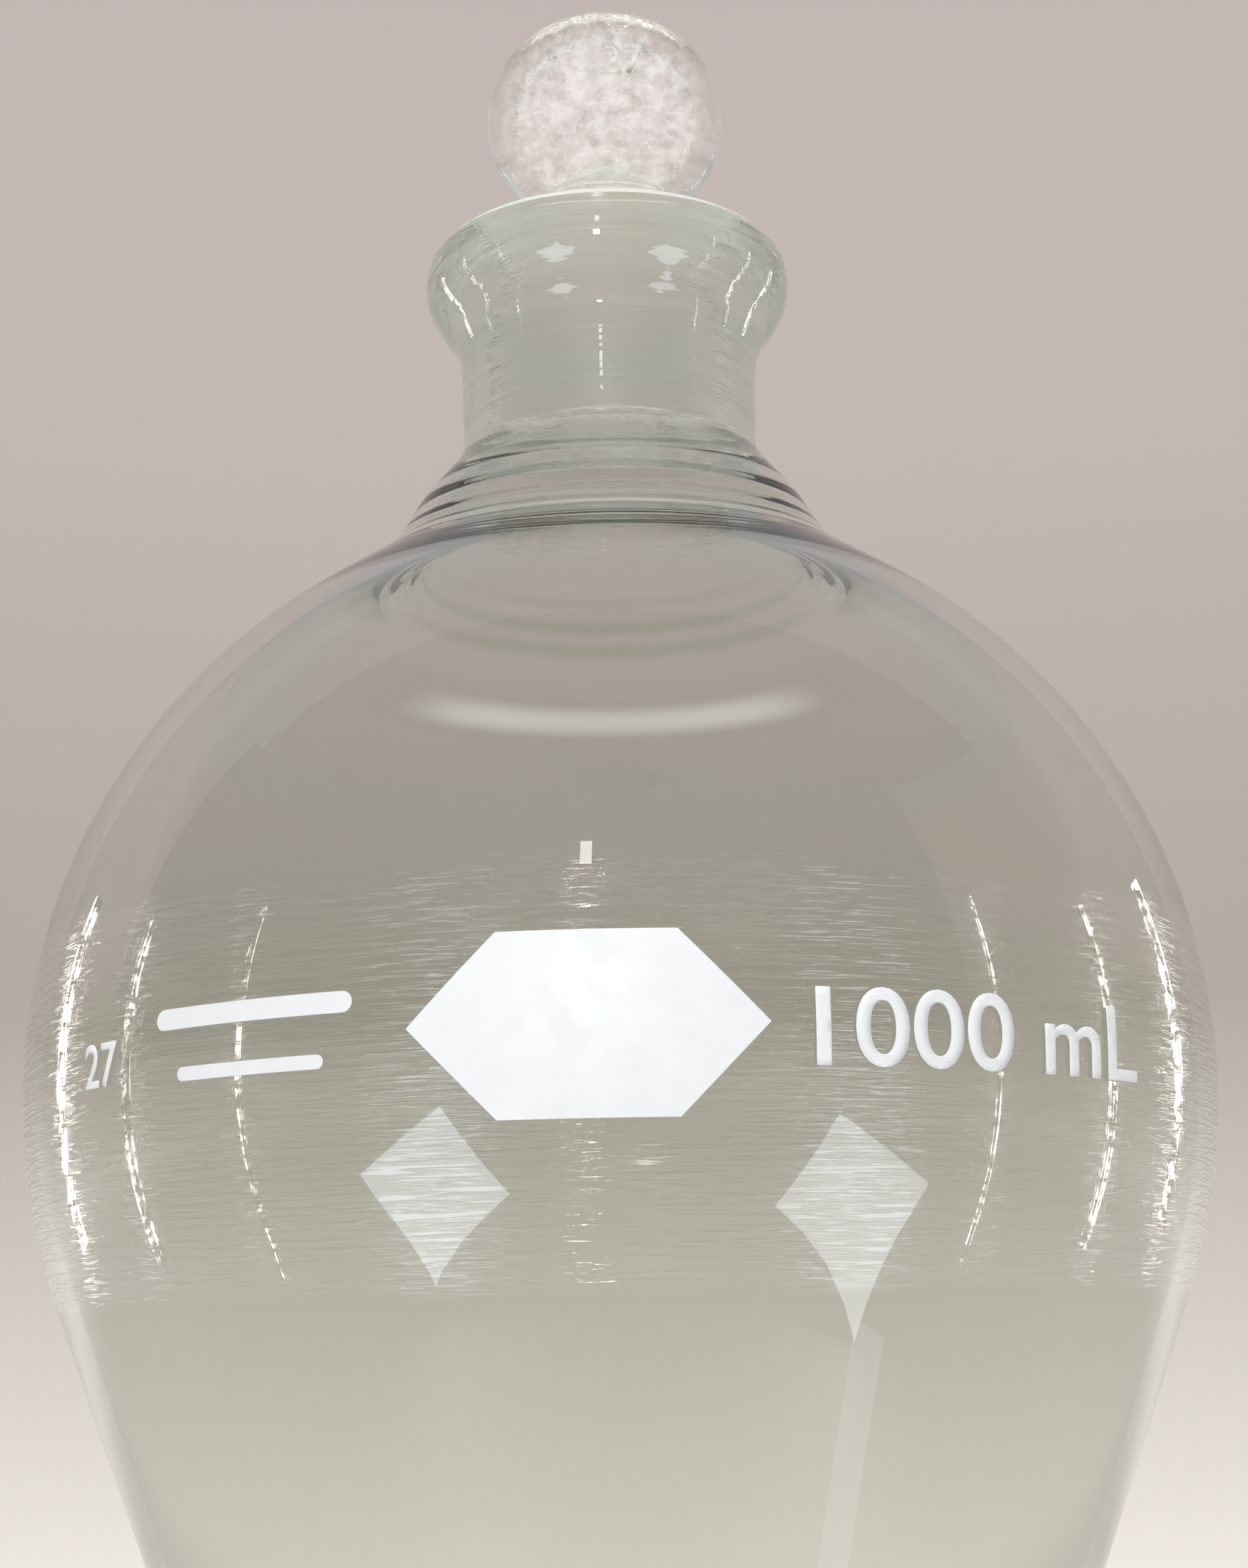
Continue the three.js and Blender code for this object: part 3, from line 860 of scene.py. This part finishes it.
# %% Relief of the surface
def surface_relief(nodes, links, coords, split, web, ring_depth, worn, lumps, lump_size, tooling):
    surface = nodes.new("NodeFrame")
    surface.label = "Relief of the surface"
    web_waves = nodes.new("ShaderNodeMath")
    label(web_waves, "orange peel on the web", surface, -800, -500)
    web_waves.operation = "MULTIPLY"
    peel = nodes.new("ShaderNodeTexNoise")
    label(peel, "orange peel", surface, -1000, -550)
    peel.inputs["Scale"].default_value = 900
    peel_bump = nodes.new("ShaderNodeBump")
    label(peel_bump, "depth of the orange peel", surface, -600, -550)
    peel_bump.inputs["Distance"].default_value = 0.4 * MM
    waves = nodes.new("ShaderNodeTexNoise")
    label(waves, "uneven skin", surface, -900, -300)
    waves.inputs["Scale"].default_value = 1 / (lump_size * MM)
    waves.inputs["Detail"].default_value = 1.0
    tool_stretch = nodes.new("ShaderNodeMapping")
    label(tool_stretch, "level waves", surface, -1300, -700)
    tool_stretch.inputs["Scale"].default_value = (12, 12, 650)
    tool_waves = nodes.new("ShaderNodeTexNoise")
    label(tool_waves, "marks of the forming tool", surface, -1100, -700)
    tool_waves.inputs["Scale"].default_value = 1.0
    on_neck = nodes.new("ShaderNodeMapRange")
    label(on_neck, "on the neck and lip", surface, -1100, -900)
    on_neck.inputs["From Min"].default_value = BULB_CENTRE + 50 * MM
    on_neck.inputs["From Max"].default_value = BULB_CENTRE + 72 * MM
    on_neck.inputs["To Max"].default_value = tooling
    tool_depth = nodes.new("ShaderNodeMath")
    label(tool_depth, "depth of the tool marks", surface, -900, -800)
    tool_depth.operation = "MULTIPLY"
    tool_bump = nodes.new("ShaderNodeBump")
    label(tool_bump, "tool marks", surface, -700, -700)
    tool_bump.inputs["Distance"].default_value = 0.11 * MM
    skin_bump = nodes.new("ShaderNodeBump")
    label(skin_bump, "lumps of the skin", surface, -700, -300)
    skin_bump.inputs["Distance"].default_value = lumps * MM
    scratch_bump = nodes.new("ShaderNodeBump")
    label(scratch_bump, "scratches", surface, -500, -400)
    scratch_bump.inputs["Distance"].default_value = 0.12 * MM
    ring_bump = nodes.new("ShaderNodeBump")
    label(ring_bump, "grinding rings", surface, -300, -500)
    ring_bump.inputs["Strength"].default_value = 0.6
    ring_bump.inputs["Distance"].default_value = 0.2 * MM
    links.new(coords.outputs["Object"], waves.inputs["Vector"])
    links.new(waves.outputs["Fac"], skin_bump.inputs["Height"])
    links.new(coords.outputs["Object"], tool_stretch.inputs["Vector"])
    links.new(tool_stretch.outputs["Vector"], tool_waves.inputs["Vector"])
    links.new(split.outputs["Z"], on_neck.inputs["Value"])
    links.new(tool_waves.outputs["Fac"], tool_depth.inputs[0])
    links.new(on_neck.outputs["Result"], tool_depth.inputs[1])
    links.new(tool_depth.outputs["Value"], tool_bump.inputs["Height"])
    links.new(skin_bump.outputs["Normal"], tool_bump.inputs["Normal"])
    links.new(tool_bump.outputs["Normal"], peel_bump.inputs["Normal"])
    links.new(worn.outputs["Value"], scratch_bump.inputs["Height"])
    links.new(peel_bump.outputs["Normal"], ring_bump.inputs["Normal"])
    links.new(ring_depth.outputs["Value"], ring_bump.inputs["Height"])
    links.new(coords.outputs["Object"], peel.inputs["Vector"])
    links.new(peel.outputs["Fac"], web_waves.inputs[0])
    links.new(web.outputs["Result"], web_waves.inputs[1])
    links.new(web_waves.outputs["Value"], peel_bump.inputs["Height"])
    return ring_bump, scratch_bump


# %% [markdown]
# The body is one Principled shader, with a grey base colour that is painted shade. Lamps' rays pass
# straight through, so that the glass throws only a faint shadow, and the volume holds the tint.

# %% Glass
GLASS_IOR = 1.473


def glass(name, painted_shade_tone, tint_density, limits, lumps, lump_size, wear, tooling, frost):
    material, nodes, links = new_material(name)
    coords, split, reach = place_on_piece(nodes, links)
    ground, any_ground, ground_top = ground_zone(nodes, links, split, reach, limits, tooling)
    ring_depth = grinding_rings(nodes, links, coords, ground)
    worn, worn_share = wear_scratches(nodes, links, coords, split, wear)
    web = pressed_web(nodes, links, coords, lumps)
    dullness, whiteness = frost_and_gloss(nodes, links, coords, web, any_ground, ground_top, frost)
    ring_bump, scratch_bump = surface_relief(nodes, links, coords, split, web, ring_depth, worn,
                                             lumps, lump_size, tooling)
    body = nodes.new("NodeFrame")
    body.label = "Glass, its tint, and light let through to what it shades"
    shader = nodes.new("ShaderNodeBsdfPrincipled")
    label(shader, "borosilicate glass", body, -50, 200)
    # Painted shade: the grey base colour darkens everything seen through the glass.
    shader.inputs["Base Color"].default_value = (*painted_shade_tone, 1)
    shader.inputs["IOR"].default_value = GLASS_IOR
    shader.inputs["Coat Roughness"].default_value = 0.1
    clear = nodes.new("ShaderNodeBsdfTransparent")
    label(clear, "light through to the floor", body, -50, -400)
    clear.inputs["Color"].default_value = (0.93, 0.95, 0.93, 1)
    path = nodes.new("ShaderNodeLightPath")
    label(path, "rays from lamps", body, -50, 600)
    either = nodes.new("ShaderNodeMixShader")
    label(either, "glass, or clear for lamps", body, 300, 200)
    tint = nodes.new("ShaderNodeVolumeAbsorption")
    label(tint, "faint green tint", body, 300, -100)
    tint.inputs["Color"].default_value = (0.76, 0.77, 0.60, 1)
    tint.inputs["Density"].default_value = tint_density
    output = nodes.new("ShaderNodeOutputMaterial")
    label(output, "to the surface", body, 550, 200)
    links.new(dullness.outputs["Result"], shader.inputs["Roughness"])
    links.new(whiteness.outputs["Result"], shader.inputs["Transmission Weight"])
    links.new(ring_bump.outputs["Normal"], shader.inputs["Normal"])
    links.new(worn_share.outputs["Value"], shader.inputs["Coat Weight"])
    links.new(scratch_bump.outputs["Normal"], shader.inputs["Coat Normal"])
    links.new(path.outputs["Is Shadow Ray"], either.inputs[0])
    links.new(shader.outputs["BSDF"], either.inputs[1])
    links.new(clear.outputs["BSDF"], either.inputs[2])
    links.new(either.outputs["Shader"], output.inputs["Surface"])
    links.new(tint.outputs["Volume"], output.inputs["Volume"])
    return material


def coat_with(piece, material):
    piece.data.materials.clear()
    piece.data.materials.append(material)


# %% [markdown]
# The vessel is blown and worn, with tool marks on the neck. The stopcock is clear and new. The
# stopper is pressed, so it has lumps and a frosted web. The grey given to each is painted shade,
# darkest on the vessel and lightest on the stopper.

# %% Coat the glass pieces
socket_zone = (BULB_CENTRE + 68.4 * MM, BULB_CENTRE + 90.7 * MM, 11.5, 14.0)
vessel_glass = glass("vessel_glass", (0.842, 0.85, 0.826), 13, socket_zone, lumps=0.004, lump_size=18,
                     wear=1.0, tooling=1.0, frost=0.45)
coat_with(vessel, vessel_glass)
no_zone = (STOPCOCK_AXIS.z - 8 * MM, STOPCOCK_AXIS.z - 8 * MM, 0.0, 1.0)
stopcock_glass = glass("stopcock_glass", (0.9, 0.905, 0.885), 12, no_zone, lumps=0.01, lump_size=6,
                       wear=0.0, tooling=0.0, frost=0.0)
coat_with(barrel, stopcock_glass)
body_zone = (BULB_CENTRE + 69.2 * MM, BULB_CENTRE + 91.6 * MM, 11.6, 14.0)
stopper_glass = glass("stopper_glass", (0.95, 0.925, 0.91), 3, body_zone, lumps=0.12, lump_size=1.4,
                      wear=0.0, tooling=0.0, frost=0.38)
coat_with(stopper, stopper_glass)
coat_with(size_mark, stopper_glass)
print("glass coats:", vessel_glass.name, stopcock_glass.name, stopper_glass.name)

# %% [markdown]
# ## PTFE, nylon, rubber and enamel
# The other materials are solid and share one make-up: two close colours in soft patches, a fine
# grain, and turning marks where the part was cut on a lathe. PTFE is waxy, so light goes a little
# way in. The moulded nylon nut is glossier, the rubber ring is dull with a grey bloom, and fired
# enamel is a glassy white with a faint grain where the screen held the paint.

# %% Colour and gloss of a solid
def tones_and_gloss(nodes, links, coords, colours, patch_size, roughness):
    home = nodes.new("NodeFrame")
    home.label = "Two close colours and an uneven gloss"
    patches = nodes.new("ShaderNodeTexNoise")
    label(patches, "soft patches", home, -900, 150)
    patches.inputs["Scale"].default_value = 1 / (patch_size * MM)
    patches.inputs["Detail"].default_value = 3.0
    spread = nodes.new("ShaderNodeMapRange")
    label(spread, "stronger patches", home, -650, 250)
    spread.inputs["From Min"].default_value = 0.35
    spread.inputs["From Max"].default_value = 0.65
    tones = nodes.new("ShaderNodeMix")
    label(tones, "from one colour to the other", home, -450, 250)
    tones.data_type = "RGBA"
    tones.inputs["A"].default_value = (*colours[0], 1)
    tones.inputs["B"].default_value = (*colours[1], 1)
    gloss = nodes.new("ShaderNodeMapRange")
    label(gloss, "uneven gloss", home, -450, 0)
    gloss.inputs["To Min"].default_value = roughness[0]
    gloss.inputs["To Max"].default_value = roughness[1]
    links.new(coords.outputs["Object"], patches.inputs["Vector"])
    links.new(patches.outputs["Fac"], spread.inputs["Value"])
    links.new(spread.outputs["Result"], tones.inputs["Factor"])
    links.new(spread.outputs["Result"], gloss.inputs["Value"])
    return tones, gloss


# %% [markdown]
# A lathe leaves fine rings about the plug's own axis, which is X, so the second noise is packed
# tightly along X. It lies over a grain that runs every way. A depth of 0 turns either of them off.

# %% Grain and turning marks
def grain_and_turning(nodes, links, coords, grain_size, grain_depth, turning_depth):
    relief = nodes.new("NodeFrame")
    relief.label = "Grain and turning marks"
    grain = nodes.new("ShaderNodeTexNoise")
    label(grain, "fine grain", relief, -900, -300)
    grain.inputs["Scale"].default_value = 1 / (grain_size * MM)
    grain.inputs["Detail"].default_value = 4.0
    grain_bump = nodes.new("ShaderNodeBump")
    label(grain_bump, "grain depth", relief, -650, -300)
    grain_bump.inputs["Distance"].default_value = grain_depth * MM
    along_axis = nodes.new("ShaderNodeMapping")
    label(along_axis, "fine along the plug, long round it", relief, -1100, -600)
    along_axis.inputs["Scale"].default_value = (2600, 40, 40)
    turning = nodes.new("ShaderNodeTexNoise")
    label(turning, "turning marks", relief, -900, -600)
    turning.inputs["Scale"].default_value = 1.0
    turning_bump = nodes.new("ShaderNodeBump")
    label(turning_bump, "depth of the turning marks", relief, -450, -450)
    turning_bump.inputs["Distance"].default_value = turning_depth * MM
    links.new(coords.outputs["Object"], grain.inputs["Vector"])
    links.new(grain.outputs["Fac"], grain_bump.inputs["Height"])
    links.new(coords.outputs["Object"], along_axis.inputs["Vector"])
    links.new(along_axis.outputs["Vector"], turning.inputs["Vector"])
    links.new(turning.outputs["Fac"], turning_bump.inputs["Height"])
    links.new(grain_bump.outputs["Normal"], turning_bump.inputs["Normal"])
    return turning_bump


# %% [markdown]
# Both go into one Principled shader. Its subsurface lets light a short way in, which makes PTFE
# look waxy and not chalky.

# %% One make-up for the solid finishes
def solid_finish(name, colours, patch_size, grain_size, grain_depth, turning_depth, roughness, glow_in):
    material, nodes, links = new_material(name)
    body = nodes.new("NodeFrame")
    body.label = "The solid itself"
    coords = nodes.new("ShaderNodeTexCoord")
    label(coords, "place on the piece", body, -1300, 0)
    tones, gloss = tones_and_gloss(nodes, links, coords, colours, patch_size, roughness)
    turning_bump = grain_and_turning(nodes, links, coords, grain_size, grain_depth, turning_depth)
    shader = nodes.new("ShaderNodeBsdfPrincipled")
    label(shader, "solid " + name.replace("_", " "), body, -150, 0)
    shader.inputs["Subsurface Weight"].default_value = glow_in
    shader.inputs["Subsurface Radius"].default_value = (1, 1, 0.9)
    shader.inputs["Subsurface Scale"].default_value = 0.8 * MM
    output = nodes.new("ShaderNodeOutputMaterial")
    label(output, "to the surface", body, 150, 0)
    links.new(tones.outputs["Result"], shader.inputs["Base Color"])
    links.new(gloss.outputs["Result"], shader.inputs["Roughness"])
    links.new(turning_bump.outputs["Normal"], shader.inputs["Normal"])
    links.new(shader.outputs["BSDF"], output.inputs["Surface"])
    return material


# %% [markdown]
# The same make-up is called four times. The numbers that differ are the pair of colours, the size of
# the grain, and how deep the grain and the turning marks are.

# %% PTFE, nylon, rubber and enamel
ptfe = solid_finish("white_ptfe", ((0.80, 0.80, 0.785), (0.72, 0.72, 0.70)), patch_size=5,
                    grain_size=0.5, grain_depth=0.015, turning_depth=0.03, roughness=(0.32, 0.5),
                    glow_in=0.3)
nylon = solid_finish("ivory_nylon", ((0.72, 0.71, 0.67), (0.66, 0.65, 0.605)), patch_size=4,
                     grain_size=0.3, grain_depth=0.02, turning_depth=0.0, roughness=(0.26, 0.4),
                     glow_in=0.12)
rubber = solid_finish("black_rubber", ((0.016, 0.016, 0.017), (0.04, 0.04, 0.042)), patch_size=2,
                      grain_size=0.25, grain_depth=0.03, turning_depth=0.0, roughness=(0.5, 0.75),
                      glow_in=0.0)
enamel = solid_finish("fired_enamel", ((0.70, 0.72, 0.74), (0.67, 0.69, 0.71)), patch_size=3,
                      grain_size=0.22, grain_depth=0.008, turning_depth=0.0, roughness=(0.3, 0.5),
                      glow_in=0.0)
coat_with(plug, ptfe)
coat_with(washer, ptfe)
coat_with(nut, nylon)
coat_with(o_ring, rubber)
for mark in marks:
    coat_with(mark, enamel)
print("solid coats:", ptfe.name, nylon.name, rubber.name, enamel.name)

# %% [markdown]
# ## Studio
# A pale floor sweeps up into a round wall, so the background is plain from every side. The paper's
# colour holds painted light and shade: warm and lightest where the floor curves up, then a cooler,
# darker grey up the wall, as light falls off away from a lamp.

# %% Floor and wall
FLOOR = STEM_TIP - 30 * MM
WALL_HEIGHT = 1.2
sweep = [(1500.0, 1500.0), (1500.0, 300.0), (1440.0, 120.0), (1300.0, 30.0), (1100.0, 0.0), (0.0, 0.0)]
backdrop = turn("backdrop", sweep, 64, 2)
place(backdrop, Matrix.Translation((0, 0, FLOOR)))


def paper_with_painted_light():
    material, nodes, links = new_material("paper_with_painted_light")
    home = nodes.new("NodeFrame")
    home.label = "Warm grey floor that turns to cool grey up the wall"
    coords = nodes.new("ShaderNodeTexCoord")
    label(coords, "place on the sweep", home, -900, 0)
    height = nodes.new("ShaderNodeSeparateXYZ")
    label(height, "height", home, -700, 0)
    change = nodes.new("ShaderNodeValToRGB")
    label(change, "floor, foot of the wall, wall", home, -450, 100)
    rise = nodes.new("ShaderNodeMapRange")
    label(rise, "floor to wall", home, -600, -200)
    rise.inputs["From Min"].default_value = FLOOR
    rise.inputs["From Max"].default_value = FLOOR + WALL_HEIGHT
    # Painted light and shade: the ramp is lightest where the floor curves up and darker grey up the wall.
    foot_tone, wall_tone = change.color_ramp.elements
    foot_tone.color = (0.93, 0.91, 0.865, 1)
    foot_tone.position = 0.1
    wall_tone.color = (0.565, 0.505, 0.50, 1)
    wall_tone.position = 0.75
    middle_tone = change.color_ramp.elements.new(0.42)
    middle_tone.color = (0.475, 0.455, 0.41, 1)
    floor_tone = change.color_ramp.elements.new(0.02)
    floor_tone.color = (0.68, 0.66, 0.62, 1)
    shader = nodes.new("ShaderNodeBsdfPrincipled")
    label(shader, "matt paper", home, -150, 0)
    shader.inputs["Roughness"].default_value = 0.9
    shader.inputs["Specular IOR Level"].default_value = 0.2
    output = nodes.new("ShaderNodeOutputMaterial")
    label(output, "to the surface", home, 150, 0)
    links.new(coords.outputs["Object"], height.inputs[0])
    links.new(height.outputs["Z"], rise.inputs["Value"])
    links.new(rise.outputs["Result"], change.inputs["Fac"])
    links.new(change.outputs["Color"], shader.inputs["Base Color"])
    links.new(shader.outputs["BSDF"], output.inputs["Surface"])
    return material


coat_with(backdrop, paper_with_painted_light())
print("floor at", round(FLOOR, 4))

# %% [markdown]
# A wide lamp overhead gives the even light. Two small lamps in front give a point of light on the
# bulb and a bright line on the neck, one fills the handle, and two cards stand for the panes of a
# window that the bulb mirrors. None is seen through the glass, so no other view shows a bare lamp.

# %% Lamps
def soft_light(name, width, height, power, position, aim, colour=(1, 1, 1), mirrored=True, roll=0):
    lamp = bpy.data.lights.new(name, "AREA")
    lamp.shape = "RECTANGLE"
    lamp.size = width
    lamp.size_y = height
    lamp.energy = power
    lamp.color = colour
    holder = bpy.data.objects.new(name, lamp)
    bpy.context.scene.collection.objects.link(holder)
    direction = Vector(aim) - Vector(position)
    turned_to = direction.to_track_quat("-Z", "Y").to_matrix().to_4x4()
    rolled = turned_to @ Matrix.Rotation(math.radians(roll), 4, "Z")
    holder.matrix_world = Matrix.Translation(position) @ rolled
    holder.visible_camera = False
    holder.visible_glossy = mirrored
    holder.visible_transmission = False


def around_bulb(azimuth, elevation, distance):
    flat = distance * math.cos(math.radians(elevation))
    across = flat * math.sin(math.radians(azimuth))
    away = -flat * math.cos(math.radians(azimuth))
    return (across, away, BULB_CENTRE + distance * math.sin(math.radians(elevation)))


middle = (0, 0, BULB_CENTRE)
soft_light("overhead", 1.6, 1.6, 26.4, (0, 0, 1.6), middle, mirrored=False)
soft_light("key", 0.02, 0.03, 0.10, (-0.03, -0.31, BULB_CENTRE + 0.05), middle)
soft_light("spark", 0.010, 0.022, 0.008, (-0.025, -0.27, BULB_CENTRE + 0.17), middle)
stopper_place = (0, 0, BULB_CENTRE + HANDLE_CENTRE * MM)
soft_light("stopper_fill", 0.08, 0.08, 0.9, (-0.12, -0.36, BULB_CENTRE + 0.36), stopper_place,
           mirrored=False)
soft_light("left_window", 0.16, 0.16, 0.46, around_bulb(-33, -20, 0.5), middle, (0.82, 0.93, 1), roll=32)
soft_light("right_window", 0.18, 0.16, 0.48, around_bulb(42, -22, 0.5), middle, (0.84, 0.92, 1), roll=-28)
soft_light("right_foot", 0.035, 0.06, 0.008, around_bulb(49, -38, 0.36), middle, (0.88, 0.93, 1))
for lamp in bpy.data.lights:
    print(lamp.name, round(lamp.energy, 3), "W over", round(lamp.size * lamp.size_y, 6), "square metres")

# %% [markdown]
# Clear glass mirrors the whole room, so a bright room would hide the wall of the bulb. A dim screen
# in front and a dim roof stand where only mirrored rays reach them. They light nothing and are not
# seen by the camera or through the glass.

# %% Dim surroundings
def only_mirrored(piece):
    piece.visible_camera = False
    piece.visible_diffuse = False
    piece.visible_shadow = False
    piece.visible_transmission = False


def swept(name, outline, start_angle, sweep_angle, steps):
    start = math.radians(start_angle)
    points = [(reach * math.sin(start), -reach * math.cos(start), height) for reach, height in outline]
    piece = new_piece(name, points, [(i, i + 1) for i in range(len(points) - 1)], [])
    screw = piece.modifiers.new("turn", "SCREW")
    screw.angle = math.radians(sweep_angle)
    screw.steps = steps
    screw.render_steps = steps
    apply_stack(piece)
    only_mirrored(piece)
    return piece


def dark_room(name, outline, start_angle, sweep_angle):
    piece = swept(name, outline, start_angle, sweep_angle, 32)
    material, nodes, links = new_material(name)
    home = nodes.new("NodeFrame")
    home.label = "An even dark grey that needs no lamp"
    glow = nodes.new("ShaderNodeEmission")
    label(glow, "dim grey", home, 0, 0)
    glow.inputs["Color"].default_value = (0.14, 0.14, 0.125, 1)
    output = nodes.new("ShaderNodeOutputMaterial")
    label(output, "to the surface", home, 200, 0)
    links.new(glow.outputs["Emission"], output.inputs["Surface"])
    coat_with(piece, material)
    print(name, "has", len(piece.data.polygons), "faces")


dark_room("dark_front", [(1.3, 1.3), (1.4, 0.15)], -105, 170)
dark_room("dark_roof", [(1.35, 1.3), (0.0, 1.35)], -100, 200)

# %% [markdown]
# Two more kinds of light are only there to be mirrored: a soft arc high in front, and narrow upright
# strips at the sides that are broken into glints, like sunlight through a slatted blind. Their
# pattern is a noise on the strip's own coordinates.

# %% Soft arc and broken side strips
def soft_arc(radius, width, height, strength):
    outline = [(radius + width, height), (radius, height), (radius - width, height)]
    arc = swept("soft_arc", outline, -80, 160, 64)
    material, nodes, links = new_material("soft_arc")
    home = nodes.new("NodeFrame")
    home.label = "Brightest in the middle, gone at the edges and at both ends"
    coords = nodes.new("ShaderNodeTexCoord")
    label(coords, "place on the arc", home, -900, 0)
    flat = nodes.new("ShaderNodeVectorMath")
    label(flat, "drop the height", home, -700, 0)
    flat.operation = "MULTIPLY"
    flat.inputs[1].default_value = (1, 1, 0)
    reach = nodes.new("ShaderNodeVectorMath")
    label(reach, "distance from the axis", home, -500, 0)
    reach.operation = "LENGTH"
    away = nodes.new("ShaderNodeMath")
    label(away, "from the middle line", home, -300, 0)
    away.operation = "SUBTRACT"
    away.inputs[1].default_value = radius
    either_side = nodes.new("ShaderNodeMath")
    label(either_side, "either side alike", home, -100, 0)
    either_side.operation = "ABSOLUTE"
    fade = nodes.new("ShaderNodeMapRange")
    label(fade, "soft edges", home, 100, 0)
    fade.interpolation_type = "SMOOTHERSTEP"
    fade.inputs["From Min"].default_value = width
    fade.inputs["From Max"].default_value = 0.0
    depth = nodes.new("ShaderNodeSeparateXYZ")
    label(depth, "how far forward", home, -100, -250)
    ends = nodes.new("ShaderNodeMapRange")
    label(ends, "soft ends", home, 100, -250)
    ends.interpolation_type = "SMOOTHERSTEP"
    ends.inputs["From Min"].default_value = -0.2 * radius
    ends.inputs["From Max"].default_value = -0.9 * radius
    ends.inputs["To Max"].default_value = strength
    both = nodes.new("ShaderNodeMath")
    label(both, "edges and ends", home, 300, -100)
    both.operation = "MULTIPLY"
    glow = nodes.new("ShaderNodeEmission")
    label(glow, "glow", home, 500, 0)
    output = nodes.new("ShaderNodeOutputMaterial")
    label(output, "to the surface", home, 700, 0)
    links.new(coords.outputs["Object"], flat.inputs[0])
    links.new(coords.outputs["Object"], depth.inputs[0])
    links.new(depth.outputs["Y"], ends.inputs["Value"])
    links.new(flat.outputs["Vector"], reach.inputs[0])
    links.new(reach.outputs["Value"], away.inputs[0])
    links.new(away.outputs["Value"], either_side.inputs[0])
    links.new(either_side.outputs["Value"], fade.inputs["Value"])
    links.new(fade.outputs["Result"], both.inputs[0])
    links.new(ends.outputs["Result"], both.inputs[1])
    links.new(both.outputs["Value"], glow.inputs["Strength"])
    links.new(glow.outputs["Emission"], output.inputs["Surface"])
    coat_with(arc, material)


# %% [markdown]
# The strips need dashes that differ in length, like light between the slats of a blind. One noise
# is drawn out upright, another is flattened, and only where both are strong does the strip glow.

# %% Finish of the side strips
def glint_finish(strength):
    material, nodes, links = new_material("glints")
    home = nodes.new("NodeFrame")
    home.label = "Short bright dashes with gaps between them"
    coords = nodes.new("ShaderNodeTexCoord")
    label(coords, "place on the strip", home, -900, 0)
    stretch = nodes.new("ShaderNodeMapping")
    label(stretch, "narrow and tall", home, -700, 100)
    stretch.inputs["Scale"].default_value = (520, 520, 9)
    hairs = nodes.new("ShaderNodeTexNoise")
    label(hairs, "upright hairs", home, -500, 100)
    hairs.inputs["Scale"].default_value = 1.0
    hairs.inputs["Detail"].default_value = 3.0
    flatten = nodes.new("ShaderNodeMapping")
    label(flatten, "wide and low", home, -700, -200)
    flatten.inputs["Scale"].default_value = (45, 45, 130)
    breaks = nodes.new("ShaderNodeTexNoise")
    label(breaks, "breaks in the hairs", home, -500, -200)
    breaks.inputs["Scale"].default_value = 1.0
    breaks.inputs["Detail"].default_value = 4.0
    breaks.inputs["Roughness"].default_value = 0.7
    together = nodes.new("ShaderNodeMath")
    label(together, "hairs with breaks", home, -300, 0)
    together.operation = "MULTIPLY"
    cut = nodes.new("ShaderNodeMapRange")
    label(cut, "only the brightest dashes", home, -100, 0)
    cut.inputs["From Min"].default_value = 0.275
    cut.inputs["From Max"].default_value = 0.33
    cut.inputs["To Max"].default_value = strength
    glow = nodes.new("ShaderNodeEmission")
    label(glow, "glint", home, 100, 0)
    glow.inputs["Color"].default_value = (1, 0.97, 0.92, 1)
    output = nodes.new("ShaderNodeOutputMaterial")
    label(output, "to the surface", home, 300, 0)
    links.new(coords.outputs["Object"], stretch.inputs["Vector"])
    links.new(coords.outputs["Object"], flatten.inputs["Vector"])
    links.new(stretch.outputs["Vector"], hairs.inputs["Vector"])
    links.new(flatten.outputs["Vector"], breaks.inputs["Vector"])
    links.new(hairs.outputs["Fac"], together.inputs[0])
    links.new(breaks.outputs["Fac"], together.inputs[1])
    links.new(together.outputs["Value"], cut.inputs["Value"])
    links.new(cut.outputs["Result"], glow.inputs["Strength"])
    links.new(glow.outputs["Emission"], output.inputs["Surface"])
    return material


# %% [markdown]
# Each strip is one upright face that looks at the bulb. A round bulb squeezes what stands beside it
# into thin lines along its edge, so three strips at each side give three lines.

# %% Strips at the sides
def glint_strip(azimuth, half_width, low, high, finish):
    distance = 0.42
    turn_angle = math.radians(azimuth)
    foot = Vector((distance * math.sin(turn_angle), -distance * math.cos(turn_angle), BULB_CENTRE))
    sideways = Vector((math.cos(turn_angle), math.sin(turn_angle), 0)) * half_width
    points = []
    for elevation in (low, high):
        up = Vector((0, 0, distance * math.tan(math.radians(elevation))))
        points += [foot + up - sideways, foot + up + sideways]
    strip = new_piece(f"glint_strip_{azimuth}".replace("-", "left_"), points, [], [(0, 1, 3, 2)])
    only_mirrored(strip)
    coat_with(strip, finish)


soft_arc(0.44, 0.08, BULB_CENTRE + 0.787, 4.4)
glints = glint_finish(26.0)
strips = ((67, 0.005, -27, 24), (95, 0.010, -19, 21), (119, 0.015, -11, 21))
for azimuth, half_width, low, high in strips:
    glint_strip(azimuth, half_width, low, high, glints)
    glint_strip(-azimuth, half_width, low, high, glints)
print("side strips:", 2 * len(strips))

# %% [markdown]
# The room itself gives a weak grey light from above the wall.

# %% Room light and tone
world = bpy.data.worlds.new("room")
bpy.context.scene.world = world
world.use_nodes = True
background = world.node_tree.nodes["Background"]
background.inputs["Color"].default_value = (0.5, 0.5, 0.5, 1)
background.inputs["Strength"].default_value = 0.9
bpy.context.scene.view_settings.view_transform = "Standard"
print("room light", round(background.inputs["Strength"].default_value, 2))
